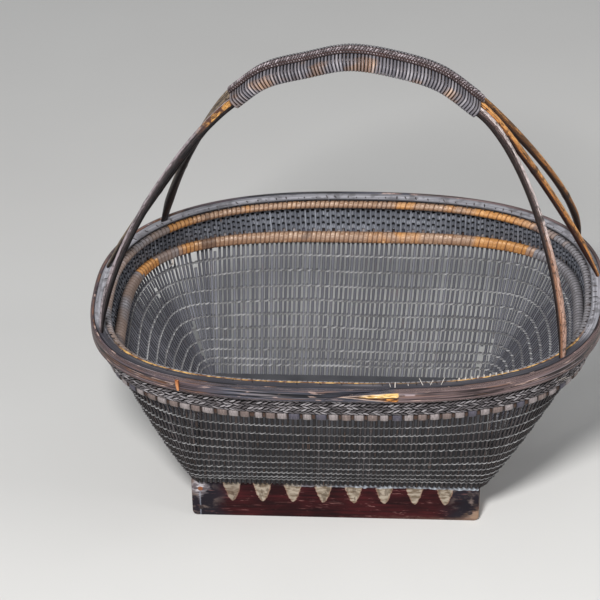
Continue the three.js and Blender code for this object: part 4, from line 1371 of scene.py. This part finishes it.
def torn_patch(finish, along, high, mottle):
    """The mask of a strip of torn skin on the front side of the left leg, and its wood."""
    place, across = finish.place(), finish.grain().part(1)
    mask = along.rise(patch_top - patch_length, patch_top - patch_length * 0.6)
    mask = mask * along.fall(patch_top + 0.01, patch_top + 0.02) * high.rise(0.1, 0.3)
    mask = mask * (across + mottle * 4 * mm).fall(1.6 * mm, 2.2 * mm)
    wood = finish.mix(mottle.rise(0.4, 0.62), (120, 74, 36), (230, 172, 96))
    return mask, finish.mix(place.noise((150, 150, 150), 4.0, 17.0).rise(0.44, 0.56), (84, 54, 42), wood)


def polished_cane(name, left, right, node, patch, charred):
    """Smooth skin from the left end's colours to the right end's, with a dark ring at the node. Patch
    and charred say how strongly the torn patch and the charred spots show."""
    finish = Finish(name)
    grain, along, place = finish.grain(), finish.tint(), finish.place()
    high = grain.part(2)
    fibres = grain.noise((9, 600, 60), 5.0)
    clouds = grain.noise((30, 60, 10), 4.0, 4.0)
    mottle = grain.noise((170, 700, 60), 4.0, 9.0)
    # Painted shade: the body colour gives way to the dark one toward the cane's sides.
    body = (fibres * 0.6 + clouds).rise(0.7, 0.88) * high.rise(0.1, 0.7)
    pale_from = 1.4 + 0.42 * patch
    # Painted highlight along the crown, mixed with wear: the crown height adds to the pale mask.
    worn = high * (0.5 + 0.4 * patch) + mottle * 1.1 + clouds * 0.7 + fibres * 0.4
    worn = worn.rise(pale_from, pale_from + 0.26 - 0.12 * patch)
    ends = [finish.mix(worn, finish.mix(body, dark, middle), pale)
            for dark, middle, pale in (left, right)]
    rusty = (along + mottle * 0.12).rise(0.86, 0.94) * high.rise(0.2, 0.7)
    torn, wood = torn_patch(finish, along, high, mottle)
    burnt = (clouds + mottle * 0.4).rise(0.64, 0.74) * along.rise(0.6, 0.64)
    burnt = burnt * along.fall(node - 0.12, node - 0.08)
    ring = abs(along - node + mottle * 0.004).fall(0.002, 0.005)
    specks = place.noise((260, 260, 260), 4.0, 2.0).rise(0.56, 0.64)
    rust = finish.mix(mottle.rise(0.4, 0.6), (92, 56, 38), (196, 140, 104))
    colour = finish.layers(finish.mix(along.rise(0.4, 0.6), *ends), (rusty * patch * 0.75, rust),
                           (torn * patch, wood), (burnt * charred, (40, 26, 24)),
                           (ring * 0.8, (34, 22, 20)), (specks * 0.7, (38, 26, 25)))
    return finish.surface(colour, fibres * 0.25 + worn * 0.15 + 0.22, fibres + mottle * 1.2, 0.4 * mm)


for row, (left, right, patch, charred) in cane_looks.items():
    skins = cane_skins[left], cane_skins[right]
    finish = polished_cane(row + "_cane_skin", *skins, right_nodes[row], patch, charred)
    piece(row + "_cane", [cane_meshes[row]], finish, "handle_canes", f"handle_{row}_cane")

# %% [markdown]
# A narrow flat strip of cane winds round the three canes, turn beside turn. Separate rings would be
# simpler, but a real winding climbs from turn to turn. Its length is the strand's own length, so it is
# again one rolled grid, bent round a flat oval that travels along the grip.

# %% Grip winding
grip_turns, winding_steps, winding_stretch = 77, 28, 7
strip_width, strip_thick = 2.75 * mm, 1.2 * mm
grip_half_width, grip_half_height = 16.9 * mm, 5.8 * mm
grip_squareness = 4.0
grip_runs = unit(np.gradient(grip_path, axis=0))


def grip_frame(share):
    """The grip's middle, its direction and the upward direction at shares of its length."""
    at, marks = share * (len(grip_path) - 1), np.arange(len(grip_path))
    columns = [np.interp(at, marks, column) for column in (*grip_path.T, *grip_runs.T)]
    centre, run = joined(*columns[:3]), joined(*columns[3:])
    return centre, run, np.cross(run, [0, 1, 0])


def on_grip(share, angle, beyond, along):
    """Points over the winding's oval, moved outward from it and along the grip."""
    centre, run, up = grip_frame(share)
    y = grip_half_width * flattened(np.cos(angle), 2 / grip_squareness)
    z = grip_half_height * flattened(np.sin(angle), 2 / grip_squareness)
    normal = np.stack([flattened(y / grip_half_width, grip_squareness - 1) / grip_half_width,
                       flattened(z / grip_half_height, grip_squareness - 1) / grip_half_height])
    normal /= np.hypot(*normal)
    y, z = y + beyond * normal[0], z + beyond * normal[1]
    return centre + np.array([0, 1, 0]) * y[:, None] + up * z[:, None] + run * along[:, None]


def grip_winding():
    tints = random.random(grip_turns + 1)
    stretches = random.random(grip_turns // winding_stretch + 2)
    edge = strip_width / 2 / grip_length

    def place(number, length, angle):
        turn = length * grip_turns
        whole = np.floor(turn).astype(int)
        w, t = section(angle, strip_width, strip_thick)
        points = on_grip(edge + (1 - 2 * edge) * length, 2 * np.pi * turn, t, w)
        grain = (np.mod(turn, 1) * 0.05 + whole * 0.31, w, crown(np.sin(angle)))
        return points, grain, 0.5 * tints[whole] + 0.5 * stretches[whole // winding_stretch]

    return strands(grip_turns * winding_steps, 6, 1, place)


def winding_cane():
    """Blue-grey strips with a painted highlight along the middle of each and painted shade at the edges,
    browned in patches and toward the front.
    """
    finish = Finish("winding_cane")
    streak = (30, 1500, 60)
    base, fibres = cane_colour(finish, (24, 21, 24), (102, 100, 108), (158, 154, 158), 0.95, streak)
    brown, _ = cane_colour(finish, (30, 19, 15), (130, 98, 76), (196, 158, 124), 0.95, streak)
    place = finish.place()
    patches = place.noise((34, 60, 60), 2.0, 6.0)
    browned = patches * 1.2 + fibres * 0.3 - (place.part(1) + finish.tint() * 6 * mm) * 14.0
    aside = abs(finish.grain().part(1))
    # Painted highlight along the middle of each strip, and painted shade in the grooves between strips.
    crest_highlight = aside.fall(0.1 * mm, 0.6 * mm) * fibres.rise(0.35, 0.6)
    groove_shade = aside.rise(strip_width * 0.36, strip_width * 0.5)
    colour = finish.layers(base, (browned.rise(0.9, 1.12) * 0.9, brown), (crest_highlight * 0.5, (188, 178, 180)),
                           (groove_shade * 0.55, (28, 22, 24)))
    return finish.surface(colour, fibres * 0.3 + 0.3, fibres, 0.2 * mm)


piece("grip_strip", [grip_winding()], winding_cane(), "grip_winding", "grip_winding")

# %% [markdown]
# A braided ridge runs along the top of the winding. Three columns of small lumps slant by turns to one
# side and the other, as in the border, on a low core, with a dark red cord along each side.

# %% Grip braid
ridge_lumps, ridge_columns = 98, 3
ridge_half_width, ridge_spacing, ridge_set_back = 5.5 * mm, 3.4 * mm, 1.5 * mm
ridge_seat = grip_half_height + strip_thick / 2
ridge_slant = math.radians(52)
ridge_lump_length, ridge_lump_width, ridge_lump_lift = 2.5 * mm, 0.95 * mm, 1.3 * mm
ridge_height, ridge_drop = 2.5 * mm, 0.38
cord_inset, cord_lift, cord_radius = 0.004, 0.5 * mm, 0.7 * mm
core_spacing, core_lift, core_radius = 3.3 * mm, 1.0 * mm, 1.5 * mm


def on_ridge(share, sideways, lift):
    centre, _, up = grip_frame(share)
    aside = np.array([0, 1, 0]) * (sideways + ridge_set_back)[:, None]
    return centre + aside + up * (ridge_seat + lift)[:, None]


def ridge_column(column):
    tints = random.random(ridge_lumps)
    lean = ridge_slant * (1 if column % 2 else -1)

    def place(number, along, across, out):
        a, b = along * ridge_lump_length, across * ridge_lump_width
        forward = a * math.cos(lean) - b * math.sin(lean)
        sideways = (column - 1) * ridge_spacing + a * math.sin(lean) + b * math.cos(lean)
        share = np.clip((number + 0.5 + 0.25 * (column % 2)) / ridge_lumps + forward / grip_length, 0, 1)
        lift = ridge_height + out * ridge_lump_lift - np.abs(sideways) * ridge_drop
        return on_ridge(share, sideways, lift), (a + number * 0.2, b, crown(out)), tints[number]

    return lumps(ridge_lumps, place)


def ridge_cord(sideways, lift, radius):
    def place(number, length, angle):
        share = cord_inset + (1 - 2 * cord_inset) * length
        points = on_ridge(share, sideways + radius * np.cos(angle), lift + radius * np.sin(angle))
        return points, (length * 0.25, angle * mm, crown(np.sin(angle))), 0.5

    return strands(180, 8, 1, place)


ridge_finish = cane_finish("ridge_cane", (36, 29, 30), (140, 128, 131), (194, 182, 186), (146, 114, 94),
                           0.64, 0.5, 0.9, (60, 1500, 60))
cord_finish = cane_finish("red_cord", (20, 12, 13), (54, 36, 36), (92, 66, 62), (84, 56, 46), 0.62, 0.6)
ridge_meshes = [ridge_column(column) for column in range(ridge_columns)]
piece("ridge_braid", ridge_meshes, ridge_finish, "grip_braid", "grip_braid")
cords = [ridge_cord(side * ridge_half_width, cord_lift, cord_radius) for side in (-1, 1)]
core = [ridge_cord(side * core_spacing, core_lift, core_radius) for side in (-1, 0, 1)]
piece("ridge_cords", cords + core, cord_finish, "grip_braid")

# %% [markdown]
# The foot is four boards on edge. Each starts as a cube, drawn to the board's box. The lower corners of
# the front and back boards are rounded wide, and every other edge gets the small round that use leaves.
# A Bevel modifier would do the small rounds, but two widths on one board are plainer as two operators.

# %% Foot boards
small_round, wide_round = 0.9 * mm, 5 * mm
sharp_angle = math.radians(40)


def bevel(bm, edges, width, segments):
    bmesh.ops.bevel(bm, geom=edges, offset=width, offset_type="OFFSET", segments=segments,
                    profile=0.5, affect="EDGES", material=-1, clamp_overlap=True)


def is_low_corner(edge, low):
    """True for the edges that run through the board's thickness at its bottom."""
    first, second = (v.co for v in edge.verts)
    return abs(first.y - second.y) > mm and max(first.z, second.z) < low.z + mm


def board_mesh(node, rounded):
    low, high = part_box(node)
    bm = bmesh.new()
    bmesh.ops.create_cube(bm, size=1.0)
    bmesh.ops.scale(bm, verts=bm.verts, vec=high - low)
    bmesh.ops.translate(bm, verts=bm.verts, vec=(low + high) / 2)
    if rounded:
        bevel(bm, [e for e in bm.edges if is_low_corner(e, low)], wide_round, 8)
    bevel(bm, [e for e in bm.edges if e.calc_face_angle(0) > sharp_angle], small_round, 3)
    return mesh_of(bm, node)


boards = {name: board_mesh(f"foot_{name}_board", name in ("front", "back"))
          for name in ("front", "back", "left", "right")}
print("boards:", {name: len(mesh.polygons) for name, mesh in boards.items()}, "faces")

# %% [markdown]
# On the front board eight pale teeth hang from the upper edge. A picture of them would blur close up, so
# each is a shape worked out from the distance to the middle of the nearest tooth and the depth below
# the edge, and a little noise makes its outline uneven, as a brush does.

# %% Teeth
teeth_first, teeth_last, teeth_total = -104.2 * mm, 89 * mm, 8
tooth_half_width, tooth_height, tooth_bluntness = 8.8 * mm, 22.0 * mm, 0.55
teeth_pitch = (teeth_last - teeth_first) / (teeth_total - 1)


def tooth_mask(finish, x, z, fine):
    """The number of the nearest tooth, 1 inside a tooth's outline, and 1 along its edge."""
    place = (x - teeth_first) * (1 / teeth_pitch)
    nearest = finish.maths("ROUND", place)
    inside = finish.maths("LESS_THAN", abs(nearest - (teeth_total - 1) / 2), teeth_total / 2)
    aside = abs((place - nearest) * teeth_pitch + fine * 3 * mm - 1.5 * mm)
    depth = finish.maths("MAXIMUM", (board_high.z - z) * (1 / tooth_height), 0.0)
    narrowing = finish.maths("MAXIMUM", 1 - depth, 0.0)
    half = finish.maths("POWER", narrowing, tooth_bluntness) * tooth_half_width
    inside = inside * finish.maths("LESS_THAN", depth, 0.99)
    reach = half - aside
    return nearest, reach.rise(-0.3 * mm, 0.4 * mm) * inside, reach.fall(0.4 * mm, 1.3 * mm)


print("a tooth every", round(teeth_pitch / mm, 1), "mm")

# %% [markdown]
# The boards are lacquered dark red over a dark ground. The lacquer is scratched, its ends are blackened
# and its corners and lower edge are worn to the wood. Wear has its reasons: it follows the distance to
# the nearest corner or edge, which the finish works out from the place, and noise only frays it.

# %% Lacquer
foot_middle, foot_middle_y = (board_low.x + board_high.x) / 2, (board_low.y + board_high.y) / 2
foot_half, foot_depth_half = (board_high.x - board_low.x) / 2, (board_high.y - board_low.y) / 2
pale_edge_level = board_high.z - 1.6 * mm
peg_inset = 7 * mm


def front_wear(finish, x, z, front, fine):
    """Layers of the front board alone: old paint round the upper left peg and a crack beside it."""
    from_peg = abs(x - board_low.x - peg_inset) + abs(z - board_high.z + peg_inset) * 0.8
    old_paint = (from_peg + fine * 22 * mm).fall(17 * mm, 24 * mm)
    spots = finish.mix(fine.rise(0.42, 0.62), (96, 88, 92), (206, 200, 204))
    crack = abs(x - board_low.x - 8 * mm + fine * mm).fall(0.4 * mm, 0.8 * mm)
    return (old_paint * front * 0.85, spots), (crack * front * 0.45, (150, 154, 166))


def lacquer_finish(name, with_teeth):
    """Red, blackened toward the ends, scratched, and worn to the wood at corners and edges."""
    finish = Finish(name, 0.12)
    place = finish.place()
    x, y, z = (place.part(axis) for axis in range(3))
    clouds = place.noise((30, 30, 60), 4.0)
    fine = place.noise((140, 140, 400), 5.0, 2.0)
    streaks = place.noise((24, 24, 420), 4.0, 17.0)
    to_side = foot_half - abs(x - foot_middle)
    to_face = foot_depth_half - abs(y - foot_middle_y)
    to_corner = finish.maths("MAXIMUM", to_side, to_face)
    from_end = foot_half - to_corner
    black = (from_end + clouds * 40 * mm).rise(foot_half - 18 * mm, foot_half + 2 * mm)
    scratched = place.noise((90, 90, 700), 3.0, 7.0).rise(0.62, 0.7) * clouds.rise(0.35, 0.6)
    bare = (place.noise((60, 60, 90), 5.0, 13.0) + fine * 0.2).rise(0.6, 0.74)
    bare = bare * from_end.rise(foot_half - 34 * mm, foot_half - 6 * mm)
    right_end = foot_middle + foot_half
    corner = (x + fine * 20 * mm - z * 1.1).rise(right_end - 14 * mm, right_end + 4 * mm)
    corner = corner * to_corner.fall(20 * mm, 32 * mm) * y.fall(0.0, 0.02)
    front = y.fall(board_low.y + mm, board_low.y + 2 * mm)
    worn_low = (z + fine * 6 * mm).fall(3 * mm, 8 * mm) * x.rise(-0.02, 0.12)
    # A pale band along the top edge on the right: dust, and painted light where the edge catches it.
    pale_top_edge = (z + fine * 4 * mm + clouds * 2 * mm).rise(pale_edge_level, pale_edge_level + 0.6 * mm)
    pale_top_edge = pale_top_edge * (x + clouds * 60 * mm).rise(-0.05, 0.05)
    red = finish.mix((clouds * 0.6 + streaks * 0.5).rise(0.4, 0.75), (28, 8, 11), (66, 22, 25))
    colour = finish.layers(red, (black, finish.mix(clouds, (14, 12, 18), (44, 38, 46))),
                           (scratched * 0.6, (150, 104, 100)), (bare * 0.75, (128, 112, 106)),
                           (corner * 0.8, finish.mix(fine, (112, 84, 66), (180, 150, 124))),
                           *front_wear(finish, x, z, front, fine), (worn_low * 0.7, (110, 86, 76)))
    relief = fine * 0.5 - scratched * 0.4
    if with_teeth:
        nearest, tooth, rim = tooth_mask(finish, x, z, fine)
        tooth = tooth * front
        cracks = place.noise((260, 260, 90), 2.0, 9.0).rise(0.56, 0.62)
        ivory = finish.layers(finish.mix(fine.rise(0.35, 0.65), (112, 98, 82), (170, 158, 142)),
                              (cracks * 0.6, (88, 76, 64)), (rim * 0.45, (150, 104, 84)))
        colour = finish.mix(tooth * (nearest.rise(-0.6, 0.6) * 0.45 + 0.5), colour, ivory)
        relief = relief + tooth * 0.6 - cracks * tooth * 0.5
    # Colour of the pale top edge: dust, with painted light.
    dust = finish.mix(fine.rise(0.35, 0.65), (104, 106, 114), (178, 184, 192))
    gloss = fine * 0.25 + black * 0.15 + scratched * 0.2 + 0.26
    return finish.surface(finish.mix(pale_top_edge * 0.9, colour, dust), gloss, relief, 0.3 * mm)


plain_lacquer = lacquer_finish("red_lacquer", False)
toothed_lacquer = lacquer_finish("toothed_lacquer", True)
for name, mesh in boards.items():
    lacquer = toothed_lacquer if name == "front" else plain_lacquer
    piece(f"{name}_board", [mesh], lacquer, "red_lacquer", f"foot_{name}_board", crease=30)

# %% [markdown]
# Wooden pegs hold the boards together. A peg's end is a low dome, made from a cone operator with two
# equal ends and a rounded rim, and it stands a little out of the board.

# %% Foot pegs
peg_radius, peg_proud, peg_round = 2.5 * mm, 0.5 * mm, 0.9 * mm


def peg_mesh(node):
    low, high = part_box(node)
    bm = bmesh.new()
    depth = high.y - low.y + peg_proud
    bmesh.ops.create_cone(bm, cap_ends=True, segments=20, radius1=peg_radius, radius2=peg_radius,
                          depth=depth)
    rims = [e for e in bm.edges if abs(e.verts[0].co.z - e.verts[1].co.z) < mm / 10]
    bevel(bm, rims, peg_round, 3)
    bmesh.ops.rotate(bm, verts=bm.verts, matrix=Matrix.Rotation(math.pi / 2, 3, "X"))
    shift = -peg_proud / 2 if low.y < 0 else peg_proud / 2
    bmesh.ops.translate(bm, verts=bm.verts, vec=(low + high) / 2 + Vector((0, shift, 0)))
    return mesh_of(bm, node)


def peg_wood():
    """Bare orange wood in the upper left peg of the front, dark lacquer on the other pegs."""
    finish = Finish("peg_wood")
    place = finish.place()
    rings = place.noise((900, 120, 900), 3.0)
    bare = place.part(0).fall(-120 * mm, -110 * mm) * place.part(1).fall(-20 * mm, 0.0)
    bare = bare * place.part(2).rise(18 * mm, 20 * mm)
    dark = finish.mix(rings, (24, 17, 19), (66, 54, 54))
    orange = finish.mix(rings, (92, 52, 36), (158, 100, 66))
    return finish.surface(finish.mix(bare, dark, orange), 0.5, rings, 0.2 * mm)


peg_finish = peg_wood()
for node in sorted(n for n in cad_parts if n.startswith("foot_peg")):
    piece(node.replace("foot_peg", "peg"), [peg_mesh(node)], peg_finish, "foot_pegs", node, crease=50)

# %% [markdown]
# The floor board is a plain thin board inside the stakes, and the construction model's shape is already
# its real one. So it keeps that mesh and gets a finish only: dark wood under blue-grey dust.

# %% Floor board
def floor_finish():
    finish = Finish("dusty_board")
    place = finish.place()
    fibres = place.noise((6, 160, 160), 5.0)
    dust = place.noise((40, 40, 40), 4.0, 3.0)
    colour = finish.mix(dust * 0.8 + fibres * 0.3, (26, 28, 33), (92, 92, 96))
    return finish.surface(colour, dust * 0.3 + 0.4, fibres, 0.3 * mm)


board_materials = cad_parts["floor_board"].data.materials
board_materials.clear()
board_materials.append(floor_finish().material)
print("floor board finished")

# %% [markdown]
